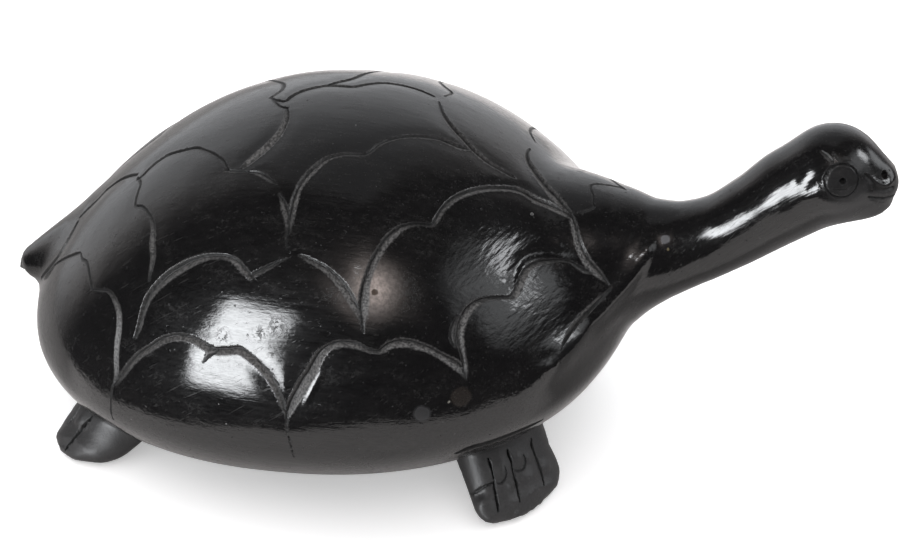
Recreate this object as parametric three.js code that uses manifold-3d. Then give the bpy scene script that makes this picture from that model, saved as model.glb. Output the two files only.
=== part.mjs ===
// A turtle figurine of burnished black clay: domed shell, long neck, four paddle feet and a stub of a tail.
// Millimetres. +X is the way the head points, +Y is the turtle's left, +Z is up, and the feet stand on Z = 0.
import * as THREE from 'three';
import { mergeVertices } from 'three/addons/utils/BufferGeometryUtils.js';
import Module from 'manifold-3d';

const wasm = await Module();
wasm.setup();

// Shell: its rim is the widest line, the dome stands above it and the belly hangs below it.
const SHELL_CENTRE_X = -31.8;
const SHELL_HALF_LENGTH = 83.8;
const SHELL_HALF_WIDTH = 67.8;
const RIM_HEIGHT = 33.8;
const RIM_RISE = 8;
const DOME_HEIGHT = 64.4;
const BELLY_DEPTH = 30.6;
const WIDTH_EGG = 0.065;
const WIDTH_FULLNESS = 0.025;
const DOME_SLIMNESS = 0.3;
const BELLY_EGG = 0.036;
const END_BLUNTNESS = 2.2;
const SHELL_SIDES = 40;
const SHELL_RINGS = 24;

// Neck: centre line and half width and half height of each station, measured in the upright middle plane.
const NECK = [
  { along: 24, up: 53, halfWidth: 29, halfHeight: 26.5 },
  { along: 40, up: 59.8, halfWidth: 24.5, halfHeight: 23.2 },
  { along: 52, up: 63, halfWidth: 18.4, halfHeight: 18.3 },
  { along: 61, up: 65.4, halfWidth: 13.6, halfHeight: 13.8 },
  { along: 69, up: 68.4, halfWidth: 11.5, halfHeight: 11.6 },
  { along: 78, up: 73.5, halfWidth: 10.7, halfHeight: 10.8 },
  { along: 87, up: 80.9, halfWidth: 11.1, halfHeight: 11.3 },
  { along: 96, up: 88.9, halfWidth: 12, halfHeight: 12.3 },
  { along: 104, up: 94.6, halfWidth: 12, halfHeight: 12.2 },
];
const NECK_SIDES = 20;
const NECK_RINGS = 14;

// Head: a round skull, a muzzle with a ball of a nose on it, and a lower jaw.
const SKULL = { centre: [105.6, 0, 95.8], radii: [12.4, 12.3, 12.5] };
const MUZZLE = { centre: [112, 0, 93.8], radii: [10, 8.6, 8.6] };
const NOSE = { centre: [117, 0, 94.4], radii: [5, 5.8, 4.7] };
const JAW = { centre: [112.3, 0, 89], radii: [8.6, 7, 4.8] };
const EYE_FORWARD = 13;
const EYE_UP = 20;
const EYE_RING_RADIUS = 4.6;
const EYE_RING_STEPS = 14;
const PUPIL_RADIUS = 0.7;
const PUPIL_DEPTH = 2.2;
const NOSTRIL_FORWARD = 45;
const NOSTRIL_UP = 30;
const NOSTRIL_RADIUS = 0.75;
const NOSTRIL_DEPTH = 2;
const MOUTH_HEIGHT = 90;
const MOUTH_SPREAD = 52;
const FACE_CUT_WIDTH = 0.9;
const FACE_CUT_DEPTH = 0.7;

// Feet: a leg comes out of the belly and ends in a paddle with cut toes. Headings are degrees from +X. Toward the
// toes the paddle slants, so that the toes of one side reach further, and it sways to the side. Toe cuts are at
// degrees round the paddle from its top.
const FRONT_FOOT = {
  x: 20.8,
  y: 26.6,
  heading: 58.8,
  slant: 0.4,
  sway: -2.7,
  toeCuts: [-40, -9, 27],
  stations: [
    { along: -15, up: 30, halfWidth: 11, halfHeight: 8 },
    { along: -4, up: 19, halfWidth: 12.9, halfHeight: 9.5 },
    { along: 5.6, up: 9, halfWidth: 13.3, halfHeight: 8 },
    { along: 11.9, up: 3.8, halfWidth: 13.9, halfHeight: 6 },
    { along: 16.4, up: 2.2, halfWidth: 11.8, halfHeight: 3.8 },
    { along: 18.3, up: 1.5, halfWidth: 6.3, halfHeight: 1.7 },
  ],
};
const REAR_FOOT = {
  x: -80.6,
  y: 27.5,
  heading: 136.3,
  slant: 0.34,
  sway: 0.8,
  toeCuts: [-29, 0, 40],
  stations: [
    { along: -15, up: 30, halfWidth: 9, halfHeight: 8 },
    { along: -4, up: 19, halfWidth: 11.5, halfHeight: 9.5 },
    { along: 7, up: 9, halfWidth: 10.9, halfHeight: 8 },
    { along: 14.3, up: 3.8, halfWidth: 10, halfHeight: 6 },
    { along: 19.4, up: 2.2, halfWidth: 7.8, halfHeight: 3.8 },
    { along: 21.6, up: 1.5, halfWidth: 4.2, halfHeight: 1.7 },
  ],
};
const SLANT_START = -4;
const SLANT_END = 12;
const FOOT_SIDES = 14;
const FOOT_RINGS = 8;
const TOE_CUT_START = 0.4;
const TOE_CUT_WIDTH = 2.2;
const TOE_CUT_DEPTH = 1.4;
const GROUND_BLOCK = 400;
const BALL_SIDES = 18;
const BALL_RINGS = 12;

// Tail: a short stub that tips down a little.
const TAIL = [
  { along: -96, up: 44, halfWidth: 12, halfHeight: 12 },
  { along: -107, up: 40, halfWidth: 9, halfHeight: 9 },
  { along: -115, up: 36.6, halfWidth: 6.4, halfHeight: 6.2 },
  { along: -119.8, up: 34.6, halfWidth: 4.2, halfHeight: 4 },
  { along: -121.6, up: 33.8, halfWidth: 1.8, halfHeight: 1.8 },
];
const TAIL_SIDES = 12;
const TAIL_RINGS = 7;

// Collar: the roll of clay along the front edge of the shell, from the side of the neck back to the flank.
const COLLAR_RADIUS = 6;
const COLLAR = [
  [56, 8.5, 65],
  [49, 13.8, 58.8],
  [42, 20.7, 52.2],
  [35.2, 35, 50],
  [28, 42, 46],
];
const COLLAR_RINGS = 8;
const COLLAR_SIDES = 10;

// Scutes: each stroke is a chain of arcs on the shell. A point is its distance along the shell from the middle in
// millimetres and its angle down from the ridge in degrees, and every second point is what the arc bends toward.
const CUT_WIDTH = 1.9;
const CUT_DEPTH = 1;
const WIDE_CUT_WIDTH = 3.2;
const WIDE_CUT_DEPTH = 1.2;
const CUT_STEP = 10;
const CUT_MARGIN = 0.8;
const MARGINAL_STROKES = [
  [[-82, 34], [-64, 24], [-58, 49.5], [-45, 45], [-46, 78], [-48, 88], [-47, 98]],
  [[-46.5, 80], [-41, 59], [-16.5, 66], [-1, 60], [5.5, 82]],
  [[5.5, 80], [12, 58.5], [27, 64.5], [42, 58], [49, 67]],
];
const COSTAL_STROKES = [
  [[-82, 34], [-70, 3], [-51.5, 9.5], [-50, 21], [-41, 30], [-37.5, 37], [-37.5, 52]],
  [[-40, 65], [-35, 36], [-8, 48.5], [8, 35], [23.5, 60]],
];
const NEAR_STROKES = [
  [[49, 66], [44, 47], [59, 43.5], [62, 16], [79, 18]],
  [[23, 60], [18, 33], [37, 29.5], [45, 4], [68, 0]],
  [[-51.5, 9.5], [-45, -1], [-23, 20.5], [-9, 18.5], [-4, 29]],
  [[-1, 30], [2, 13], [16.5, 15], [27, -3.5], [55, 5]],
  [[-22, 20.5], [-10, 16], [-11.5, -2], [-8, -12], [2, -11], [14, -20], [28, -14], [31, -4], [41, 2]],
];
const NEAR_WIDE_STROKES = [
  [[53, -9], [61, -2], [68, 0], [71, 13], [79.5, 17.5]],
  [[-3, 28], [-1, 36], [0.5, 44]],
];
const FAR_STROKES = [
  [[-33, 28], [-17, 27], [-16, 12], [-17, 6], [-11.5, 2]],
  [[-7, 10], [2, 15], [9, 34], [9, 40], [7, 45]],
  [[28, 14], [31, 23], [23, 37]],
  [[53, 9], [49, 27], [52, 46]],
  [[77, 54], [66, 52], [69, 30], [72, 14], [68, 0]],
  [[23, 60], [23, 40], [38, 48], [54, 42], [70, 60]],
];

const CLAY = new THREE.MeshStandardMaterial({ color: 0x1d1c1d, roughness: 0.32, metalness: 0 });
const WELD = 1e-4;

// A closed surface as a solid that can be joined and cut.
function solidOf(geometry) {
  const bare = new THREE.BufferGeometry();
  bare.setAttribute('position', geometry.getAttribute('position'));
  bare.setIndex(geometry.getIndex());
  const welded = mergeVertices(bare, WELD);
  const corners = welded.getIndex().array;
  const kept = [];
  for (let i = 0; i < corners.length; i += 3) {
    const [a, b, c] = corners.slice(i, i + 3);
    if (a !== b && b !== c && c !== a) kept.push(a, b, c);
  }
  return new wasm.Manifold(new wasm.Mesh({
    numProp: 3,
    vertProperties: welded.getAttribute('position').array,
    triVerts: new Uint32Array(kept),
  }));
}

function geometryOf(solid) {
  const mesh = solid.getMesh();
  const geometry = new THREE.BufferGeometry();
  geometry.setAttribute('position', new THREE.BufferAttribute(mesh.vertProperties, 3));
  geometry.setIndex(new THREE.BufferAttribute(mesh.triVerts, 1));
  geometry.computeVertexNormals();
  return geometry;
}

// Moves every vertex of a geometry to where the given function sends it.
function reshape(geometry, move) {
  const position = geometry.getAttribute('position');
  const vertex = new THREE.Vector3();
  for (let i = 0; i < position.count; i += 1) {
    const moved = move(vertex.fromBufferAttribute(position, i));
    position.setXYZ(i, moved.x, moved.y, moved.z);
  }
  return geometry;
}

// The place on the shell at a share of its half length (-1 tail, 1 neck) and an angle down from the ridge.
function shellAt(share, turn) {
  const reach = Math.sqrt(Math.max(0, 1 - Math.abs(share) ** END_BLUNTNESS));
  const width = SHELL_HALF_WIDTH * (1 + WIDTH_EGG * share + WIDTH_FULLNESS * share * share);
  const height = Math.cos(turn) >= 0
    ? DOME_HEIGHT * (1 - DOME_SLIMNESS * share * share)
    : BELLY_DEPTH * (1 + BELLY_EGG * share);
  return new THREE.Vector3(
    SHELL_CENTRE_X + SHELL_HALF_LENGTH * share,
    -width * reach * Math.sin(turn),
    RIM_HEIGHT + RIM_RISE * share + height * reach * Math.cos(turn),
  );
}

// The place and the outward direction at a station along the shell and an angle down from the ridge.
function shellSpot(station, angle) {
  const at = (along, turn) => shellAt(along / SHELL_HALF_LENGTH, THREE.MathUtils.degToRad(turn));
  const point = at(station, angle);
  const forward = at(station + 0.1, angle).sub(point);
  const down = at(station, angle + 0.1).sub(point);
  return { point, normal: new THREE.Vector3().crossVectors(down, forward).normalize() };
}

function shell() {
  const ball = new THREE.SphereGeometry(1, SHELL_SIDES, SHELL_RINGS);
  return solidOf(reshape(ball, (v) => shellAt(-v.y, Math.atan2(v.z, v.x))));
}

// The centre line and the size of a limb, whose stations lie in one upright plane.
function limbCurves(stations) {
  return {
    spine: new THREE.CatmullRomCurve3(stations.map((s) => new THREE.Vector3(s.along, 0, s.up))),
    size: new THREE.CatmullRomCurve3(stations.map((s) => new THREE.Vector3(s.halfWidth, 0, s.halfHeight))),
  };
}

// The place on a limb at a share of its length and a direction across it: right is -Y, and up is across the spine.
function limbAt({ spine, size }, share, right, up) {
  const tangent = spine.getTangent(share);
  const across = new THREE.Vector3(-tangent.z, 0, tangent.x);
  const half = size.getPoint(share);
  return spine.getPoint(share)
    .add(new THREE.Vector3(0, -half.x * right, 0))
    .add(across.multiplyScalar(half.z * up));
}

function limb(stations, sides, rings) {
  const curves = limbCurves(stations);
  const tube = new THREE.CylinderGeometry(1, 1, 1, sides, rings);
  return reshape(tube, (v) => limbAt(curves, v.y + 0.5, v.x, v.z));
}

// A spot on the top of a foot, at an angle from its middle line.
function footSpot(curves, share, angle) {
  const around = THREE.MathUtils.degToRad(angle);
  const point = limbAt(curves, share, Math.sin(around), Math.cos(around));
  const centre = curves.spine.getPoint(share);
  return { point, normal: point.clone().sub(centre).normalize() };
}

// Slants and sways a foot toward its toes.
function slantFoot(v, { slant, sway }) {
  const share = THREE.MathUtils.clamp((v.x - SLANT_START) / (SLANT_END - SLANT_START), 0, 1);
  v.y += sway * share;
  v.x += slant * share * v.y;
  return v;
}

// A foot on the turtle's left, moved to its place. The right foot is its mirror image.
function placeFoot(geometry, foot, side) {
  reshape(geometry, (v) => slantFoot(v, foot));
  geometry.rotateZ(THREE.MathUtils.degToRad(foot.heading));
  geometry.translate(foot.x, foot.y, 0);
  if (side < 0) mirror(geometry);
  return solidOf(geometry);
}

function mirror(geometry) {
  geometry.scale(1, -1, 1);
  const corners = geometry.getIndex().array;
  for (let i = 0; i < corners.length; i += 3) {
    [corners[i + 1], corners[i + 2]] = [corners[i + 2], corners[i + 1]];
  }
}

function feet() {
  return [FRONT_FOOT, REAR_FOOT].flatMap((foot) => [1, -1].map((side) => (
    placeFoot(limb(foot.stations, FOOT_SIDES, FOOT_RINGS), foot, side)
  )));
}

function toeCut(foot, angle, side) {
  const curves = limbCurves(foot.stations);
  const spots = [0, 0.33, 0.66, 1].map((part) => (
    footSpot(curves, THREE.MathUtils.lerp(TOE_CUT_START, 1, part), angle)
  ));
  return placeFoot(cutter(spots, TOE_CUT_WIDTH, TOE_CUT_DEPTH), foot, side);
}

function toeCuts() {
  return [FRONT_FOOT, REAR_FOOT].flatMap((foot) => (
    foot.toeCuts.flatMap((angle) => [1, -1].map((side) => toeCut(foot, angle, side)))
  ));
}

function ellipsoid({ centre, radii }) {
  const ball = new THREE.SphereGeometry(1, BALL_SIDES, BALL_RINGS);
  return solidOf(ball.scale(...radii).translate(...centre));
}

// A spot on an ellipsoid in a given direction, turned by forward degrees from sideways and raised by up degrees.
function ellipsoidSpot({ centre, radii }, direction) {
  const size = new THREE.Vector3(...radii);
  return {
    point: direction.clone().multiply(size).add(new THREE.Vector3(...centre)),
    normal: direction.clone().divide(size).normalize(),
  };
}

function sideways(forward, up, side) {
  const turn = THREE.MathUtils.degToRad(forward);
  const lift = THREE.MathUtils.degToRad(up);
  return new THREE.Vector3(Math.sin(turn) * Math.cos(lift), side * Math.cos(turn) * Math.cos(lift), Math.sin(lift));
}

// A V-shaped cutter that follows spots on a surface and runs out to nothing at both ends.
function cutter(spots, width, depth) {
  const positions = [];
  const last = spots.length - 1;
  spots.forEach(({ point, normal }, i) => {
    const before = spots[Math.max(i - 1, 0)].point;
    const after = spots[Math.min(i + 1, last)].point;
    const run = after.clone().sub(before);
    const across = new THREE.Vector3().crossVectors(run, normal).normalize();
    const full = i > 0 && i < last ? 1 : 0.3;
    const half = (full * width * (depth + CUT_MARGIN)) / depth / 2;
    positions.push(
      ...point.clone().addScaledVector(normal, CUT_MARGIN).addScaledVector(across, half),
      ...point.clone().addScaledVector(normal, CUT_MARGIN).addScaledVector(across, -half),
      ...point.clone().addScaledVector(normal, -depth * full),
    );
  });
  const faces = [0, 1, 2, 3 * last, 3 * last + 2, 3 * last + 1];
  for (let i = 0; i < last; i += 1) {
    for (let k = 0; k < 3; k += 1) {
      const a = 3 * i + k;
      const b = 3 * i + ((k + 1) % 3);
      faces.push(a, a + 3, b, b, a + 3, b + 3);
    }
  }
  const geometry = new THREE.BufferGeometry();
  geometry.setAttribute('position', new THREE.BufferAttribute(new Float32Array(positions), 3));
  geometry.setIndex(faces);
  return geometry;
}

// One cutter for each arc of a stroke. Side 1 is the turtle's right, and side -1 mirrors the stroke to its left.
function strokeCuts(stroke, side, width, depth) {
  const cuts = [];
  for (let i = 0; i + 2 < stroke.length; i += 2) {
    const [from, bend, to] = stroke.slice(i, i + 3).map(([x, y]) => new THREE.Vector2(x, y * side));
    const arc = new THREE.QuadraticBezierCurve(from, bend, to);
    const steps = Math.max(2, Math.round(arc.getLength() / CUT_STEP));
    const spots = arc.getPoints(steps).map((p) => shellSpot(p.x, p.y));
    cuts.push(solidOf(cutter(spots, width, depth)));
  }
  return cuts;
}

function scuteCuts() {
  const narrow = (side) => (stroke) => strokeCuts(stroke, side, CUT_WIDTH, CUT_DEPTH);
  const wide = (stroke) => strokeCuts(stroke, 1, WIDE_CUT_WIDTH, WIDE_CUT_DEPTH);
  const both = [...MARGINAL_STROKES, ...COSTAL_STROKES];
  return [
    ...[...both, ...NEAR_STROKES].flatMap(narrow(1)),
    ...[...both, ...FAR_STROKES].flatMap(narrow(-1)),
    ...NEAR_WIDE_STROKES.flatMap(wide),
  ];
}

function collar(side) {
  const path = COLLAR.map(([x, y, z]) => new THREE.Vector3(x, y * side, z));
  const roll = new THREE.TubeGeometry(new THREE.CatmullRomCurve3(path), COLLAR_RINGS, COLLAR_RADIUS, COLLAR_SIDES);
  return closedTube(roll, COLLAR_RINGS, COLLAR_SIDES);
}

// Closes the two open ends of a tube geometry with a fan of triangles round the centre of each end.
function closedTube(tube, rings, sides) {
  const position = tube.getAttribute('position');
  const row = sides + 1;
  const points = [...position.array];
  const faces = [...tube.getIndex().array];
  [0, rings].forEach((ring, end) => {
    const centre = new THREE.Vector3();
    for (let i = 0; i < sides; i += 1) {
      centre.add(new THREE.Vector3().fromBufferAttribute(position, ring * row + i));
    }
    centre.divideScalar(sides);
    const hub = points.length / 3;
    points.push(...centre);
    for (let i = 0; i < sides; i += 1) {
      const a = ring * row + i;
      const b = a + 1;
      faces.push(...(end ? [hub, b, a] : [hub, a, b]));
    }
  });
  const geometry = new THREE.BufferGeometry();
  geometry.setAttribute('position', new THREE.BufferAttribute(new Float32Array(points), 3));
  geometry.setIndex(faces);
  return solidOf(geometry);
}

function eyeCuts(side) {
  const ahead = sideways(EYE_FORWARD, EYE_UP, side);
  const level = new THREE.Vector3().crossVectors(new THREE.Vector3(0, 0, 1), ahead).normalize();
  const upright = new THREE.Vector3().crossVectors(ahead, level);
  const spread = EYE_RING_RADIUS / SKULL.radii[1];
  const spots = Array.from({ length: EYE_RING_STEPS + 1 }, (_, i) => {
    const turn = (i * 2 * Math.PI) / EYE_RING_STEPS;
    const direction = ahead.clone().multiplyScalar(Math.cos(spread))
      .addScaledVector(level, Math.sin(spread) * Math.cos(turn))
      .addScaledVector(upright, Math.sin(spread) * Math.sin(turn));
    return ellipsoidSpot(SKULL, direction);
  });
  const ring = solidOf(cutter(spots, FACE_CUT_WIDTH, FACE_CUT_DEPTH));
  return [ring, hole(ellipsoidSpot(SKULL, ahead), PUPIL_RADIUS, PUPIL_DEPTH)];
}

// A round hole bored into a surface at a spot.
function hole({ point, normal }, radius, depth) {
  const pin = new THREE.CylinderGeometry(radius, radius, 2 * depth, 10);
  const turn = new THREE.Quaternion().setFromUnitVectors(new THREE.Vector3(0, 1, 0), normal);
  pin.applyQuaternion(turn);
  return solidOf(pin.translate(point.x, point.y, point.z));
}

function mouthCut() {
  const spots = Array.from({ length: 11 }, (_, i) => {
    const turn = THREE.MathUtils.degToRad(THREE.MathUtils.lerp(-MOUTH_SPREAD, MOUTH_SPREAD, i / 10));
    const rise = (MOUTH_HEIGHT - JAW.centre[2]) / JAW.radii[2];
    const level = Math.sqrt(1 - rise * rise);
    return ellipsoidSpot(JAW, new THREE.Vector3(level * Math.cos(turn), level * Math.sin(turn), rise));
  });
  return solidOf(cutter(spots, FACE_CUT_WIDTH, FACE_CUT_DEPTH));
}

function faceCuts() {
  const nostrils = [1, -1].map((side) => (
    hole(ellipsoidSpot(NOSE, sideways(NOSTRIL_FORWARD, NOSTRIL_UP, side)), NOSTRIL_RADIUS, NOSTRIL_DEPTH)
  ));
  return [...eyeCuts(1), ...eyeCuts(-1), ...nostrils, mouthCut()];
}

function turtle() {
  const added = [
    solidOf(limb(NECK, NECK_SIDES, NECK_RINGS)),
    solidOf(limb(TAIL, TAIL_SIDES, TAIL_RINGS)),
    ...[SKULL, MUZZLE, NOSE, JAW].map(ellipsoid),
    ...feet(),
    collar(1),
    collar(-1),
  ];
  const ground = solidOf(
    new THREE.BoxGeometry(GROUND_BLOCK, GROUND_BLOCK, GROUND_BLOCK).translate(0, 0, -GROUND_BLOCK / 2),
  );
  const carved = added.reduce((body, piece) => body.add(piece), shell().subtract(join(scuteCuts())));
  return carved.subtract(join([...toeCuts(), ...faceCuts()])).subtract(ground);
}

function join(solids) {
  return solids.reduce((whole, solid) => whole.add(solid));
}

const root = new THREE.Group();
const body = new THREE.Mesh(geometryOf(turtle()), CLAY);
body.name = 'turtle';
root.add(body);

export default root;
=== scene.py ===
import math

import bpy
import numpy as np
from mathutils import Matrix, Vector


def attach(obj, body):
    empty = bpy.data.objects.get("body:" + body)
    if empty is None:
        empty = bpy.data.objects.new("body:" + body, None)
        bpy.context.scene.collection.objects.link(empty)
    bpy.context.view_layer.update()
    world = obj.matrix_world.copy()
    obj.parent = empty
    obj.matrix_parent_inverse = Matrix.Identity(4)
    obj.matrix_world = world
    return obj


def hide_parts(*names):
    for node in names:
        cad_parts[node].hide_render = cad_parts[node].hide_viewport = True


# A turtle figurine of burnished black clay. Shapes are worked out in millimetres and stored in metres.
# +X is the way the head points, +Y is the turtle's left, +Z is up, and the feet stand on Z = 0.
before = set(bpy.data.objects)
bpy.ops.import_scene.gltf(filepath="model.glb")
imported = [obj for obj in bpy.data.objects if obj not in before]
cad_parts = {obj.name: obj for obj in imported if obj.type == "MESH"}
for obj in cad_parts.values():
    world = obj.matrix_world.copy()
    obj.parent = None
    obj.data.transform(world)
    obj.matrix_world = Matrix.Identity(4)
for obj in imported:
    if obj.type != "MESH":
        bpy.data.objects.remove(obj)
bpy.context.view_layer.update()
MM = 0.001

# Shell: its rim is the widest line, the dome stands above it and the belly hangs below it.
SHELL_CENTRE_X = -31.8
SHELL_HALF_LENGTH = 83.8
SHELL_HALF_WIDTH = 67.8
RIM_HEIGHT = 33.8
RIM_RISE = 8.0
DOME_HEIGHT = 64.4
BELLY_DEPTH = 30.6
WIDTH_EGG = 0.065
WIDTH_FULLNESS = 0.025
DOME_SLIMNESS = 0.3
BELLY_EGG = 0.036
END_BLUNTNESS = 2.2

# Limbs: each station is how far along it lies, its height, and the section's half width and half height.
NECK = [(24, 53, 29, 26.5), (40, 59.8, 24.5, 23.2), (52, 63, 18.4, 18.3), (61, 65.4, 13.6, 13.8),
        (69, 68.4, 11.5, 11.6), (78, 73.5, 10.7, 10.8), (87, 80.9, 11.1, 11.3), (96, 88.9, 12, 12.3),
        (104, 94.6, 12, 12.2)]
TAIL = [(-96, 44, 12, 12), (-107, 40, 9, 9), (-115, 36.6, 6.4, 6.2), (-119.8, 34.6, 4.2, 4),
        (-121.6, 33.8, 1.8, 1.8)]
FRONT_STATIONS = [(-15, 30, 11, 8), (-4, 19, 12.9, 9.5), (5.6, 9, 13.3, 8), (11.9, 3.8, 13.9, 6),
                  (16.4, 2.2, 11.8, 3.8), (18.3, 1.5, 6.3, 1.7)]
REAR_STATIONS = [(-15, 30, 9, 8), (-4, 19, 11.5, 9.5), (7, 9, 10.9, 8), (14.3, 3.8, 10, 6),
                 (19.4, 2.2, 7.8, 3.8), (21.6, 1.5, 4.2, 1.7)]
# A left foot's x, y and heading in degrees from +X, and how it slants and sways toward its toes.
FRONT_FOOT = (20.8, 26.6, 58.8, 0.4, -2.7)
REAR_FOOT = (-80.6, 27.5, 136.3, 0.34, 0.8)
SLANT_START, SLANT_END = -4.0, 12.0
# Head: centre and radii of each ball.
SKULL = ((105.6, 0, 95.8), (12.4, 12.3, 12.5))
MUZZLE = ((112, 0, 93.8), (10, 8.6, 8.6))
NOSE = ((117, 0, 94.4), (5, 5.8, 4.7))
JAW = ((112.3, 0, 89), (8.6, 7, 4.8))
COLLAR_RADIUS = 6
COLLAR = [(56, 8.5, 65), (49, 13.8, 58.8), (42, 20.7, 52.2), (35.2, 35, 50), (28, 42, 46)]
# How far two forms melt into each other where they meet.
NECK_BLEND, COLLAR_BLEND, TAIL_BLEND, FOOT_BLEND = 12.0, 4.0, 8.0, 4.0
MUZZLE_BLEND, JAW_BLEND, NOSE_BLEND, HEAD_BLEND = 5.0, 2.5, 2.0, 6.0
FAR = 40.0

# Mesh: the box round the body, the coarse step, the fine step beside the carving, and how fast the step
# grows away from there.
BODY_BOX = ((-126, -72, -4), (124, 72, 112))
COARSE_STEP = 2.1
FINE_STEP = 0.5
SNAP_SHARE = 0.25
STEP_GROWTH = 0.32

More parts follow.
